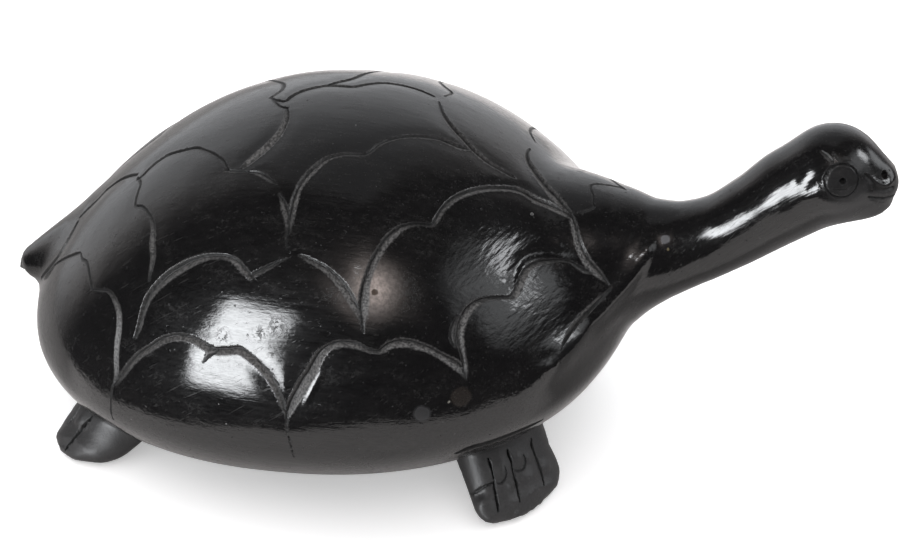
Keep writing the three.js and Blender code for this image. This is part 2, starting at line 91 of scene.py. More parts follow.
# Carved lines on the near (right) side: station in mm from the shell's middle, angle in degrees down from
# the ridge, and the width of the cut there in mm.
NEAR_LINES = {
    "marginal_1": [(-46.1, 79.6, 0.9), (-44.1, 76.8, 1.7), (-41, 72.1, 2.2), (-38, 68.8, 2.2),
                   (-35, 66.8, 2.2), (-32.1, 64.8, 2.3), (-29.2, 63.7, 2.3), (-26.2, 63.3, 2.4),
                   (-23.3, 63.6, 2.4), (-20.3, 64.6, 2.6), (-17.8, 65.7, 2.8), (-15.8, 66.2, 2.5)],
    "spur": [(-16.1, 66.2, 2.1), (-17.7, 67.5, 1.5), (-18.9, 69.2, 0.3)],
    "marginal_2": [(-17.5, 66.2, 2.1), (-15.5, 66.2, 2.7), (-12.1, 65.9, 2.8), (-9.1, 65.6, 3),
                   (-6.8, 66.7, 2.8), (-4.4, 68.1, 2.7), (-2.4, 69.6, 2.6), (-0.6, 71.2, 2.6),
                   (0.8, 73, 2.3), (2, 74.9, 2), (3.1, 76.8, 1.9), (3.9, 78.8, 1.4), (4.7, 80.6, 0.9),
                   (5, 82.1, 0.6)],
    "marginal_3": [(4.8, 81.6, 0.8), (5.5, 79.5, 2.4), (6.5, 77.1, 3.4), (8, 74.5, 3.9), (9.4, 71.9, 3.9),
                   (10.9, 69.4, 3.6), (12.2, 66.7, 3.4), (13.4, 64.7, 2.9), (14.8, 63.4, 2.3),
                   (16.8, 62.4, 2.2), (19.4, 62, 2.1), (21.7, 62.1, 2.1), (24.1, 62.8, 1.6),
                   (26.5, 63.3, 1.3), (28, 63.3, 1.4), (29.2, 62.5, 2.1), (30.6, 61.4, 2.3),
                   (33.1, 60.6, 2.7), (35.6, 60.5, 2.7), (38.1, 61, 2.5), (40.7, 61.7, 2.2),
                   (42.8, 62.8, 2.1), (44.8, 63.9, 2.3), (46.6, 65, 2.9), (48.2, 66.4, 2.9),
                   (49.3, 68.1, 1.6), (50.2, 70.1, 0.4)],
    "marginal_4": [(50.3, 69.7, 0.4), (49.8, 66.9, 1.6), (49.1, 63.6, 1.6), (48.5, 61.3, 1.9),
                   (47.9, 59, 2.2), (47.5, 56.7, 2.4), (47.6, 54.1, 2.7), (48.1, 51.5, 2.7),
                   (49.1, 49, 2.5), (50.5, 47.1, 2.1), (52, 45.8, 1.7), (53.9, 44.8, 1.3),
                   (55.7, 44.1, 1.2), (57.6, 43.5, 1.3), (58.9, 42.4, 2.1), (59.6, 40.1, 2.7),
                   (60, 37.3, 2.6), (60.4, 34.7, 2.4), (61, 32.2, 2.1), (62.3, 29.9, 1.8),
                   (63.8, 28.2, 1.6), (65.5, 27.1, 1.4), (67.5, 26, 1.1), (69.3, 25.2, 0.8),
                   (71.1, 24.9, 0.7), (73.2, 25.6, 1.1), (75.4, 26.1, 1.3), (77.5, 25.7, 0.5)],
    "marginal_4_echo": [(46.7, 60.5, 0.8), (45.7, 58.1, 1.3), (45.5, 55.9, 1.3), (45.9, 53.6, 1.1),
                        (46.6, 51.5, 0.5)],
    "shoulder": [(69, 10.4, 1.4), (70.2, 12.5, 1.9), (71.2, 15, 2.1), (72.1, 17.1, 2.3), (73, 19.1, 2.6),
                 (74.2, 21, 2.8), (75.6, 22.9, 2.8), (77.3, 24.3, 2.7), (79, 25.5, 2.1), (80.4, 26.5, 1.1),
                 (81.5, 27.5, 0.4)],
    "costal_3": [(23.7, 59.1, 0.4), (23.1, 56.5, 1.6), (22.8, 54, 3.1), (22.5, 51.4, 3.6),
                 (22.4, 48.6, 3.1), (22.7, 45.7, 2.7), (23.3, 42.9, 2.7), (24.1, 40.4, 2.5),
                 (25, 38.2, 2.4), (25.9, 36.3, 2.5), (27.1, 34.5, 2.5), (28.5, 32.8, 2.2),
                 (30.3, 31.5, 1.5), (32.2, 30.6, 1.1), (34.2, 30.1, 1), (36.2, 29.6, 1.2),
                 (36.9, 27.9, 1.6), (37.6, 25.3, 1.7), (38.6, 22.8, 1.9), (39.9, 20.4, 1.9),
                 (41.6, 18.1, 2), (43.7, 15.7, 2.1), (45.9, 13.5, 2.1), (48.1, 11.5, 2.1), (50.4, 9.7, 2),
                 (52.8, 8, 2.2), (55.3, 7.1, 2.6), (57.6, 7.6, 2.9), (59.9, 8.3, 3), (62.4, 8.8, 3),
                 (65, 9.6, 2.9), (67.4, 10.5, 2.4), (69.4, 11.5, 1.2)],
    "costal_1": [(-40.1, 64.3, 1), (-39.2, 61.3, 2.1), (-38.7, 57.7, 2.4), (-37.9, 54.5, 2.8),
                 (-36.8, 52.4, 3), (-35.3, 50.6, 3.2), (-33.5, 48.9, 3.5), (-31.6, 47.5, 3.6),
                 (-29.4, 46.3, 3.5), (-27.3, 45.3, 3.3), (-24.8, 44.4, 2.6), (-22.3, 43.8, 2.3),
                 (-19.8, 43.5, 1.7), (-17.2, 43.6, 1.6), (-14.8, 44.1, 1.8), (-13, 44.9, 2.1),
                 (-11.3, 46.2, 2.1), (-9.7, 47.5, 2), (-8.4, 48.4, 1.6)],
    "costal_1_end": [(-9, 48.3, 1.4), (-7.4, 47.8, 1.6), (-5.4, 46.8, 1.5), (-3.4, 45.8, 1.4),
                     (-1.7, 44.9, 1), (0.8, 43.7, 0.3)],
    "costal_2": [(4.1, 42.7, 0.7), (6.5, 43.5, 1.6), (8.8, 44.3, 1.8), (11, 45.1, 2.1), (13.1, 46.2, 2.3),
                 (15.2, 47.6, 2.6), (17.1, 49.2, 2.7), (18.9, 51.1, 2.7), (20.5, 53, 2.3),
                 (22.2, 55.2, 1.6), (23.2, 57.5, 0.8)],
    "rear_step": [(-75, 31.3, 1), (-72, 31.3, 1.2), (-68.6, 31.9, 1.2), (-64.6, 32.9, 0.9)],
    "rear_ragged": [(-64.1, 33.4, 0.6), (-62.7, 36.6, 0.8), (-60.8, 38.4, 0.9), (-59.5, 41.3, 1),
                    (-58.2, 44.9, 1), (-56.6, 49.4, 1)],
    "rear_drop": [(-56.8, 49.6, 0.7), (-53.5, 50.1, 0.8), (-50.7, 50.7, 1.1), (-48.2, 53.6, 1.7),
                  (-46.3, 57.5, 2.2), (-45.7, 62.6, 2.4), (-45.9, 67.1, 2.3), (-45.8, 71.7, 2.1),
                  (-45.5, 75.5, 1.9), (-46.1, 79.3, 1.1)],
    "rear_edge": [(-81.5, 33, 0.8), (-78.4, 30.2, 1.9), (-74.7, 26.6, 2.2), (-72.9, 22.3, 2.3),
                  (-71.1, 16.9, 2.1), (-69.9, 12.3, 1.6)],
    "rear_ridge": [(-69.6, 9.7, 1.4), (-67.6, 7.8, 1.8), (-65, 6.1, 2.1), (-62.8, 3.9, 2.2),
                   (-59.1, 4.3, 1.8), (-55.7, 6, 1.6), (-51.7, 9, 1.3)],
    "drop_2": [(-50.9, 10.9, 0.8), (-48.7, 15.2, 1), (-48.5, 18.9, 1.1), (-47.7, 24, 1), (-45.5, 25.1, 0.9),
               (-42.8, 28.2, 1.1), (-40.7, 31.3, 1.4), (-39.5, 34.9, 1.9), (-39, 38.5, 2.1),
               (-37.9, 42, 1.9), (-37.8, 45.3, 1.5), (-37.9, 48.6, 0.5)],
    "vertebral_1": [(-50.6, 11.8, 1.2), (-49.3, 11.4, 1.5), (-47.8, 9.5, 1.7), (-45.5, 7.9, 1.7),
                    (-42.7, 7.2, 1.5), (-38.6, 8.2, 1.4), (-33.8, 9.5, 1.3), (-30.5, 11.7, 1.1),
                    (-26.3, 14.9, 1), (-23.6, 17.3, 1.1), (-21.6, 20.2, 1.2)],
    "vertebral_1_end": [(-22.1, 20.4, 1.3), (-20, 20.8, 1.3), (-17.9, 21.2, 1), (-15.5, 21.7, 0.8),
                        (-12.9, 22.1, 1.5), (-10.7, 23, 1.7), (-8.4, 24.4, 1.4), (-6.1, 25.7, 0.4)],
    "crest_left": [(-10.8, 0, 0.7), (-9.9, 2.6, 1.4), (-9.4, 5.8, 1.9), (-9.7, 9.1, 2.2), (-10.7, 12, 2.5),
                   (-12.1, 14.3, 2.7), (-13.7, 16.2, 2.7), (-15.4, 18.2, 2.4), (-16.9, 19.8, 1.7),
                   (-17.6, 20.5, 0.6)],
    "crest_corner": [(-17, -5.8, 0.6), (-14.6, -2.6, 0.9), (-12.6, -0.5, 1.1), (-10.6, 0.4, 1.3)],
    "crest_hook": [(-25.3, -28.4, 0.9), (-19.8, -19.7, 1.3), (-16.1, -14.5, 1.3), (-15.3, -9.9, 1.4),
                   (-16.4, -7.6, 1.5), (-17.3, -6.2, 1.2)],
    "crest_line": [(-17.1, -6, 0.9), (-15.1, -4.2, 1.2), (-12.1, -3.1, 1.6), (-10.8, -5.6, 1.7),
                   (-8.7, -8, 2), (-5.6, -9.9, 2.2), (-3.1, -11, 2.2), (0.8, -11.1, 2.2), (4.7, -11.1, 2.1),
                   (7.8, -13.4, 1.9), (11.4, -15.7, 1.9), (15.2, -16.6, 1.9), (20.9, -16.4, 1.7),
                   (26, -15, 1.2)],
    "crest_branch": [(-2.5, -11.6, 1.4), (0.2, -14.3, 2.3), (2.7, -16.9, 1.9), (5, -23.7, 1.7),
                     (6.8, -28.4, 1)],
    "crest_right_hook": [(23.4, -36.2, 0.6), (24.5, -29.8, 1), (26.9, -25.7, 1.3), (29.1, -23.3, 1.2),
                         (29.4, -21.2, 0.9), (28.4, -17.6, 0.6)],
    "crest_right": [(28, -12.7, 0.6), (29.9, -8.4, 1.3), (32.1, -5.2, 1.7), (34.6, -2.7, 2.2),
                    (37.2, -1, 2.4), (39.9, 0.9, 2.4), (42.3, 2.2, 2.4), (45.6, 3.2, 2.1), (49.4, 3.4, 1.6),
                    (52.6, 3.6, 0.8)],
    "vertebral_2": [(0.1, 38.1, 0.4), (-0.1, 35.2, 1.6), (-0.2, 32.2, 2.2), (-0.3, 29.7, 2.4), (0, 27, 2),
                    (0.7, 24.6, 2.3), (1.9, 22.3, 2.5), (3.2, 20.4, 2.4), (4.8, 18.4, 2.1),
                    (7.4, 16.8, 1.6), (10.1, 15.9, 1.4), (13, 15.5, 1.2), (15.4, 15, 1.2),
                    (16.7, 13.2, 1.1), (18.2, 10.9, 1.3), (20.4, 8.9, 1.4), (23.2, 7, 1.3),
                    (26.3, 5.5, 1.4), (29.3, 4.4, 1.4), (32.3, 3.5, 1.7), (35, 3.3, 2.1), (37.6, 3.1, 2.1),
                    (40.7, 2, 1.3)],
    "vertebral_2_wedge": [(-4.8, 28.2, 0.5), (-3.3, 30.3, 1.6), (-1.9, 32.8, 1.9), (-0.9, 35.2, 1.6),
                          (-0.1, 37.8, 0.8)],
    "front_hook": [(52.6, -44, 1.2), (50.9, -41, 1.1), (50.5, -35.6, 1), (51, -27.8, 1), (52, -25.1, 1),
                   (53.4, -22.5, 0.7)],
    "front_wide": [(53.3, -14.9, 0.6), (53.3, -10.5, 1.3), (54.5, -6.8, 2.3), (56.5, -3.9, 2.8),
                   (58.7, -0.7, 2.8), (61.3, 2.7, 2.7), (64, 5.7, 2.7), (66.4, 8.2, 2.5),
                   (68.7, 10.1, 1.7)],
    "neck_line": [(72.6, -15.7, 0.9), (74.8, -14.4, 1.2), (78, -8.6, 1.3), (80.9, -5, 1)],
    "neck_hook": [(81.5, -4.7, 0.9), (79.2, -5.1, 1.3), (76.9, -4.2, 1.3), (73.9, -3, 1.1),
                  (72.5, -1.4, 0.9), (72.9, 0.8, 0.8), (73.9, 2.6, 0.8), (74.3, 5.4, 0.7), (74.9, 6.3, 0.7),
                  (73, 8.5, 0.8), (71, 9.6, 0.5)],
    "collar_crease": [(81.8, 28.7, 0.5), (79.9, 33, 1.2), (78.1, 37.4, 1.7), (76.3, 42.6, 1.9),
                      (74.7, 47.9, 1.9), (73.4, 52.7, 1.6), (72.4, 57.4, 1.1), (71.9, 61.3, 0.4)],
}
# Hairline cracks that run on below the carved lines.
CRACK_DEPTH, CRACK_PALE = 0.45, 0.3
NEAR_CRACKS = {
    "crack_1": [(4.9, 81.9, 0.5), (4.9, 84.9, 0.5), (5.5, 86.8, 0.5), (6, 89, 0.5), (6.6, 95.2, 0.3)],
    "crack_2": [(-46, 78.9, 0.5), (-46.8, 80.9, 0.5), (-47.2, 83.9, 0.6), (-47.4, 87.3, 0.6),
                (-47, 96.8, 0.4)],
    "crack_3": [(-0.3, 37.6, 0.5), (-0.3, 39.7, 0.5), (0.3, 41.1, 0.4), (1.3, 42.4, 0.3)],
}
# Carved lines on the far (left) side, each a chain of arcs: start, bend, end, bend, end and so on.
FAR_ARCS = {
    "far_marginal_1": [(-82, 34), (-64, 24), (-58, 49.5), (-45, 45), (-46, 78), (-48, 88), (-47, 98)],
    "far_marginal_2": [(-46.5, 80), (-41, 59), (-16.5, 66), (-1, 60), (5.5, 82)],
    "far_marginal_3": [(5.5, 80), (12, 58.5), (27, 64.5), (42, 58), (49, 67)],
    "far_costal_1": [(-82, 34), (-70, 12), (-52, 15), (-50, 24), (-41, 32), (-37.5, 38), (-37.5, 52)],
    "far_costal_2": [(-40, 65), (-35, 36), (-8, 48.5), (8, 35), (23.5, 60)],
    "far_vertebral": [(-25.3, 28.4), (-32, 32), (-38, 39)],
    "far_crest": [(6.8, 28.4), (11, 37), (8, 47)],
    "far_branch": [(23.4, 36.2), (22, 43), (26, 49)],
    "far_shoulder": [(77, 54), (66, 52), (69, 32), (70, 22), (72.6, 15.7)],
    "far_costal_3": [(23, 60), (23, 40), (38, 48), (54, 42), (70, 60)],
}
FAR_WIDTH = 2.3
CUT_WIDTH_SHARE = 0.82
CUT_DEPTH_SHARE = 0.46
CUT_DEPTH_MOST = 1.3
CUT_LEAN = 0.58
SHOULDER_FALL = 0.22
SHOULDER_REACH = 2.6
EDGE_SOFTNESS = 0.3
# How wide a cut must be before its bared clay shows pale, and how far the painted shade along its bottom
# reaches.
PALE_FROM, PALE_FULL = 0.6, 1.8
SHADE_REACH = 0.42


# A centripetal Catmull-Rom curve through the stations, at evenly spaced shares.
def spline(stations, samples):
    knots = np.array(stations, float)
    padded = np.vstack([2 * knots[0] - knots[1], knots, 2 * knots[-1] - knots[-2]])
    shares = np.linspace(0, len(knots) - 1, samples)
    index = np.minimum(shares.astype(int), len(knots) - 2)
    t = (shares - index)[:, None]
    before, here, there, after = (padded[index + k] for k in range(4))
    gap = [np.maximum(np.linalg.norm(b - a, axis=1), 1e-9)[:, None] ** 0.5
           for a, b in ((before, here), (here, there), (there, after))]
    out = ((here - before) / gap[0] - (there - before) / (gap[0] + gap[1]) + (there - here) / gap[1]) * gap[1]
    into = ((there - here) / gap[1] - (after - here) / (gap[1] + gap[2]) + (after - there) / gap[2]) * gap[1]
    cubic = 2 * here - 2 * there + out + into
    square = -3 * here + 3 * there - 2 * out - into
    return here + t * (out + t * (square + t * cubic))


def smooth_min(a, b, reach):
    h = np.maximum(reach - np.abs(a - b), 0) / reach
    return np.minimum(a, b) - h * h * h * reach / 6


def ellipsoid_gap(p, centre, radii):
    q = (p - np.array(centre, float)) / radii
    near = np.linalg.norm(q, axis=1)
    slope = np.linalg.norm(q / radii, axis=1)
    return near * (near - 1) / np.maximum(slope, 1e-9)


# The shell's half width, dome height, belly depth and rim height at a place along it.
def shell_sizes(x):
    u = (x - SHELL_CENTRE_X) / SHELL_HALF_LENGTH
    w = np.clip(u, -1.25, 1.25)
    width = SHELL_HALF_WIDTH * (1 + WIDTH_EGG * w + WIDTH_FULLNESS * w * w)
    dome = DOME_HEIGHT * (1 - DOME_SLIMNESS * w * w)
    belly = BELLY_DEPTH * (1 + BELLY_EGG * w)
    return u, width, dome, belly, RIM_HEIGHT + RIM_RISE * w


def shell_level(p):
    u, width, dome, belly, rim = shell_sizes(p[:, 0])
    rise = p[:, 2] - rim
    height = np.where(rise >= 0, dome, belly)
    return np.abs(u) ** END_BLUNTNESS + (p[:, 1] / width) ** 2 + (rise / height) ** 2


def shell_gap(p):
    step = 0.02
    level = shell_level(p)
    slope = np.stack([shell_level(p + step * axis) - shell_level(p - step * axis) for axis in np.eye(3)], 1)
    slope = np.linalg.norm(slope, axis=1) / (2 * step)
    return 2 * (level - np.sqrt(level)) / np.maximum(slope, 1e-4)


# Distance from each point to a polyline, the segment it is nearest to and its share of that segment.
def line_distance(p, rows):
    start, run = rows[:-1], np.diff(rows, axis=0)
    size = np.maximum((run ** 2).sum(1), 1e-12)
    share = np.clip(((p[:, None, :] - start[None]) * run[None]).sum(2) / size, 0, 1)
    foot = start[None] + share[..., None] * run[None]
    gap = ((p[:, None, :] - foot) ** 2).sum(2)
    pick = np.argmin(gap, axis=1)
    each = np.arange(len(p))
    return np.sqrt(gap[each, pick]), pick, share[each, pick]


# A tube of changing elliptical section whose centre line lies in an upright plane.
class Limb:
    def __init__(self, stations, samples, cap=1.0):
        self.rows = spline([(a, u) for a, u, w, h in stations], samples)
        self.size = spline([(w, h) for a, u, w, h in stations], samples)
        self.cap = cap
        slope = np.gradient(self.rows, axis=0)
        self.slope = slope / np.linalg.norm(slope, axis=1)[:, None]
        pad = self.size.max() + 14
        self.low = np.array([self.rows[:, 0].min() - pad, -pad, self.rows[:, 1].min() - pad])
        self.high = np.array([self.rows[:, 0].max() + pad, pad, self.rows[:, 1].max() + pad])

    # Centre, slope, size and distance ahead at a fractional place along the centre line.
    def at(self, flat, place):
        last = len(self.rows) - 1
        whole = np.clip(place, 0, last)
        base = np.minimum(whole.astype(int), last - 1)
        part = (whole - base)[:, None]
        mix = [rows[base] * (1 - part) + rows[base + 1] * part for rows in (self.rows, self.slope, self.size)]
        ahead = ((flat - mix[0]) * mix[1]).sum(1)
        step = np.linalg.norm(self.rows[base + 1] - self.rows[base], axis=1)
        return mix, whole, ahead, step

    def gap(self, p):
        out = np.full(len(p), FAR)
        near = np.all((p > self.low) & (p < self.high), axis=1)
        q = p[near]
        if not len(q):
            return out
        flat = q[:, [0, 2]]
        place = np.argmin(((flat[:, None, :] - self.rows[None]) ** 2).sum(2), axis=1)
        for _ in range(2):
            mix, whole, ahead, step = self.at(flat, place)
            place = whole + ahead / step
        (centre, slope, size), whole, ahead, step = self.at(flat, place)
        beyond = np.where((whole <= 0) | (whole >= len(self.rows) - 1), ahead, 0)
        across = flat - centre
        lift = across[:, 1] * slope[:, 0] - across[:, 0] * slope[:, 1]
        scale = np.stack([size[:, 0], size[:, 1], size.min(1) * self.cap], 1)
        parts = np.stack([q[:, 1], lift, beyond], 1) / scale
        near_by = np.linalg.norm(parts, axis=1)
        steep = np.linalg.norm(parts / scale, axis=1)
        gap = np.where(near_by > 1e-6, near_by * (near_by - 1) / np.maximum(steep, 1e-9), -size.min(1))
        out[near] = np.minimum(gap, FAR)
        return out


NECK_LIMB = Limb(NECK, 120)
TAIL_LIMB = Limb(TAIL, 60)
FEET = [(FRONT_FOOT, Limb(FRONT_STATIONS, 60, 0.6)), (REAR_FOOT, Limb(REAR_STATIONS, 60, 0.6))]
COLLAR_ROWS = spline(COLLAR, 50)


def collar_gap(p):
    out = np.full(len(p), FAR)
    pad = COLLAR_RADIUS + 12
    near = np.all((p > COLLAR_ROWS.min(0) - pad) & (p < COLLAR_ROWS.max(0) + pad), axis=1)
    if near.any():
        out[near] = line_distance(p[near], COLLAR_ROWS)[0] - COLLAR_RADIUS
    return out


def slant_share(along):
    return np.clip((along - SLANT_START) / (SLANT_END - SLANT_START), 0, 1)


# Points in the straightened frame of a left foot: along its heading, across it and up; and back again.
def foot_frame(p, foot):
    x, y, heading, slant, sway = foot
    turn = math.radians(heading)
    dx, dy = p[:, 0] - x, p[:, 1] - y
    ahead = dx * math.cos(turn) + dy * math.sin(turn)
    across = dy * math.cos(turn) - dx * math.sin(turn)
    along = ahead
    for _ in range(6):
        along = 0.5 * (along + ahead - slant * across * slant_share(along))
    return np.stack([along, across - sway * slant_share(along), p[:, 2]], 1)


def foot_world(q, foot):
    x, y, heading, slant, sway = foot
    turn = math.radians(heading)
    across = q[:, 1] + sway * slant_share(q[:, 0])
    ahead = q[:, 0] + slant * across * slant_share(q[:, 0])
    return np.stack([x + ahead * math.cos(turn) - across * math.sin(turn),
                     y + across * math.cos(turn) + ahead * math.sin(turn), q[:, 2]], 1)


# Signed distance to the turtle before anything is carved.
def body_gap(p):
    folded = np.stack([p[:, 0], np.abs(p[:, 1]), p[:, 2]], 1)
    out = shell_gap(p)
    out = smooth_min(out, NECK_LIMB.gap(p), NECK_BLEND)
    out = smooth_min(out, collar_gap(folded), COLLAR_BLEND)
    out = smooth_min(out, TAIL_LIMB.gap(p), TAIL_BLEND)
    for foot, limb in FEET:
        out = smooth_min(out, limb.gap(foot_frame(folded, foot)), FOOT_BLEND)
    near = p[:, 0] > 80
    if near.any():
        q = p[near]
        head = smooth_min(ellipsoid_gap(q, *SKULL), ellipsoid_gap(q, *MUZZLE), MUZZLE_BLEND)
        head = smooth_min(head, ellipsoid_gap(q, *JAW), JAW_BLEND)
        head = smooth_min(head, ellipsoid_gap(q, *NOSE), NOSE_BLEND)
        out[near] = smooth_min(out[near], head, HEAD_BLEND)
    return out


def gradient(p, field, step=0.05):
    return np.stack([field(p + step * axis) - field(p - step * axis) for axis in np.eye(3)], 1) / (2 * step)


def unit(v):
    return v / np.maximum(np.linalg.norm(v, axis=-1, keepdims=True), 1e-12)


# One closed mesh on the level 0 of a field, with a vertex in each grid cell that the surface crosses.
def surface_mesh(field, low, high, step):
    axes = [np.arange(lo, hi + step, step) for lo, hi in zip(low, high)]
    shape = tuple(len(a) for a in axes)
    grid = np.stack(np.meshgrid(*axes, indexing="ij"), -1).reshape(-1, 3)
    value = np.concatenate([field(part) for part in np.array_split(grid, 12)]).reshape(shape)
    inside = value < 0
    cells = tuple(n - 1 for n in shape)
    total = np.zeros(cells + (3,))
    count = np.zeros(cells)
    corner = [slice(0, -1), slice(1, None)]
    for axis in range(3):
        others = [a for a in range(3) if a != axis]
        for i, j in ((0, 0), (0, 1), (1, 0), (1, 1)):
            pick = [corner[0]] * 3
            pick[others[0]], pick[others[1]] = corner[i], corner[j]
            there = list(pick)
            there[axis] = corner[1]
            a, b = value[tuple(pick)], value[tuple(there)]
            crossed = (a < 0) != (b < 0)
            offset = np.zeros(cells + (3,))
            offset[..., axis] = a / np.where(crossed, a - b, 1)
            offset[..., others] = (i, j)
            total += offset * crossed[..., None]
            count += crossed
    active = count > 0
    number = np.full(cells, -1)
    number[active] = np.arange(active.sum())
    where = np.argwhere(active)
    origin = np.array([a[0] for a in axes])
    points = origin + (where + total[active] / count[active][:, None]) * step
    quads = []
    for axis in range(3):
        b, c = (axis + 1) % 3, (axis + 2) % 3
        here = [slice(1, -1)] * 3
        here[axis] = slice(0, -1)
        there = [slice(1, -1)] * 3
        there[axis] = slice(1, None)
        first, second = inside[tuple(here)], inside[tuple(there)]
        spots = np.argwhere(first != second)
        outward = first[tuple(spots.T)]
        spots = spots + 1
        spots[:, axis] -= 1
        ring = []
        for db, dc in ((-1, -1), (0, -1), (0, 0), (-1, 0)):
            cell = spots.copy()
            cell[:, b] += db
            cell[:, c] += dc
            ring.append(number[tuple(cell.T)])
        ring = np.stack(ring, 1)
        ring[~outward] = ring[~outward][:, ::-1]
        quads.append(ring)
    quads = np.vstack(quads)
    across = np.linalg.norm(points[quads[:, 0]] - points[quads[:, 2]], axis=1)
    other = np.linalg.norm(points[quads[:, 1]] - points[quads[:, 3]], axis=1)
    turned = np.where((across <= other)[:, None], quads, np.roll(quads, 1, axis=1))
    return points, np.vstack([turned[:, [0, 1, 2]], turned[:, [0, 2, 3]]])


def project(points, field, rounds):
    for _ in range(rounds):
        slope = gradient(points, field)
        points = points - (field(points) / np.maximum((slope ** 2).sum(1), 1e-6))[:, None] * slope
    return points


def edges_of(faces):
    pairs = np.sort(np.vstack([faces[:, [0, 1]], faces[:, [1, 2]], faces[:, [2, 0]]]), axis=1)
    edges, inverse = np.unique(pairs, axis=0, return_inverse=True)
    return edges, inverse.reshape(3, -1).T


# Evens out the triangles by moving each point along the surface toward the middle of its neighbours.
def relax(points, faces, field, rounds):
    edges, _ = edges_of(faces)
    degree = np.bincount(edges.ravel(), minlength=len(points))[:, None]
    for _ in range(rounds):
        total = np.zeros_like(points)
        np.add.at(total, edges[:, 0], points[edges[:, 1]])
        np.add.at(total, edges[:, 1], points[edges[:, 0]])
        shift = total / degree - points
        normal = unit(gradient(points, field))
        shift -= (shift * normal).sum(1)[:, None] * normal
        points = project(points + 0.6 * shift, field, 1)
    return points


# Splits every edge that is longer than wanted, and the longest edge of each triangle that a split touches.
def refine(points, faces, field, wanted):
    for _ in range(12):
        edges, sides = edges_of(faces)
        ends = points[edges]
        length = np.linalg.norm(ends[:, 0] - ends[:, 1], axis=1)
        marked = length > 1.35 * wanted(ends.mean(1))
        if not marked.any():
            break
        longest = sides[np.arange(len(sides)), np.argmax(length[sides], axis=1)]
        while True:
            touched = marked[sides].any(1)
            more = longest[touched]
            if marked[more].all():
                break
            marked[more] = True
        fresh = np.full(len(edges), -1)
        fresh[marked] = len(points) + np.arange(marked.sum())
        points = np.vstack([points, project(ends[marked].mean(1), field, 1)])
        faces = split_faces(points, faces, fresh[sides])
    return points, faces


def split_faces(points, faces, middle):
    has = middle >= 0
    count = has.sum(1)
    made = [faces[count == 0]]
    for turn in range(3):
        order = [turn, (turn + 1) % 3, (turn + 2) % 3]
        a, b, c = (faces[:, k] for k in order)
        ab, bc, ca = (middle[:, k] for k in order)
        one = (count == 1) & has[:, turn]
        made += [np.stack([a, ab, c], 1)[one], np.stack([ab, b, c], 1)[one]]
        two = (count == 2) & ~has[:, order[2]]
        if two.any():
            cut = np.linalg.norm(points[ab[two]] - points[c[two]], axis=1)
            other = np.linalg.norm(points[bc[two]] - points[a[two]], axis=1)
            near = cut <= other
            made.append(np.stack([ab, b, bc], 1)[two])
            made += [np.stack([a, ab, c], 1)[two][near], np.stack([ab, bc, c], 1)[two][near]]
            made += [np.stack([a, ab, bc], 1)[two][~near], np.stack([a, bc, c], 1)[two][~near]]
    three = count == 3
    a, b, c = faces[three].T
    ab, bc, ca = middle[three].T
    made += [np.stack(corner, 1) for corner in ((a, ab, ca), (ab, b, bc), (ca, bc, c), (ab, bc, ca))]
    return np.vstack(made)


# The right eye and the lines and holes of the face, all mirrored to the left. A place is x, y, z and width
# in mm.
EYE = (108.3, -11.5, 100.7)
EYE_RING_RADIUS = 4.7
EYE_RING_WIDTH = 0.6
EYE_RING_DEPTH = 0.5
EYE_RING_LEAN = -0.3
FACE_LEAN = 0.3
FACE_SHOULDER = 0.1
# Each line has its places, depth, how pale the bared clay is and how dark the painted shade along its bottom
# is.
FACE_LINES = {
    "brow_nick": ([(102.2, -7, 106.1, 0.6), (103.4, -7.9, 105.8, 1), (104.3, -8.6, 105.4, 1.2),
                   (105.2, -9.1, 104.9, 0.8)], 0.4, 0.9, 0.2),
    "brow_scratch": ([(105.2, -7.4, 106.3, 0.4), (106.2, -8.2, 105.7, 0.5),
                      (107.2, -8.8, 105, 0.4)], 0.25, 0.9, 0.0),
    "brow_arc": ([(107.2, -8.5, 105.3, 0.4), (107.9, -8.1, 105.4, 0.7), (108.9, -7.7, 105.5, 0.7),
                  (109.8, -7.7, 105.1, 0.3)], 0.2, 0.6, 0.0),
    "eye_crescent": ([(104.2, -12, 100.1, 0.3), (104.5, -11.6, 101.4, 0.8), (105, -10.9, 102.8, 0.9),
                      (105.9, -10.2, 103.8, 0.4)], 0.25, 0.75, 0.0),
    "eye_corner": ([(102.3, -12, 99.6, 0.3), (103.2, -12.7, 98.5, 0.7),
                    (104, -12.8, 98.1, 0.4)], 0.25, 0.3, 0.8),
    "eye_line": ([(106, -12.6, 98.7, 0.3), (108, -12.3, 98.6, 0.4),
                  (110, -11.7, 98.6, 0.3)], 0.2, 0.1, 0.9),
    "nose_crease": ([(114.2, -8, 101.2, 0.8), (115.2, -7.8, 99.9, 1.6), (116.4, -7.6, 98.2, 2),
                     (117.9, -6.8, 96.6, 2.1), (119.9, -5.2, 95.6, 1.8),
                     (121.2, -3.6, 95.4, 0.9)], 0.6, 0.0, 0.6),
    "mouth": ([(115.4, -9.1, 95.1, 0.4), (116.9, -8, 94.4, 0.6), (118.2, -7.1, 93.8, 0.7),
               (119.4, -6, 93.3, 0.7), (120.4, -4.9, 93.1, 0.7), (121.3, -3.4, 92.6, 0.7),
               (122, -1.2, 92.3, 0.6), (122, 0.5, 92.3, 0.5)], 0.6, 0.1, 1.0),
    "under_mouth": ([(115.8, -8.9, 94.1, 0.3), (117.5, -7.5, 93, 0.4),
                     (119.2, -5.7, 91.6, 0.3)], 0.15, 0.1, 0.4),
}
PUPIL = ((108.6, -11.5, 100.7), 0.95, 1.4)
NOSTRIL = ((118.7, -4.0, 99.3), 1.05, 1.6)
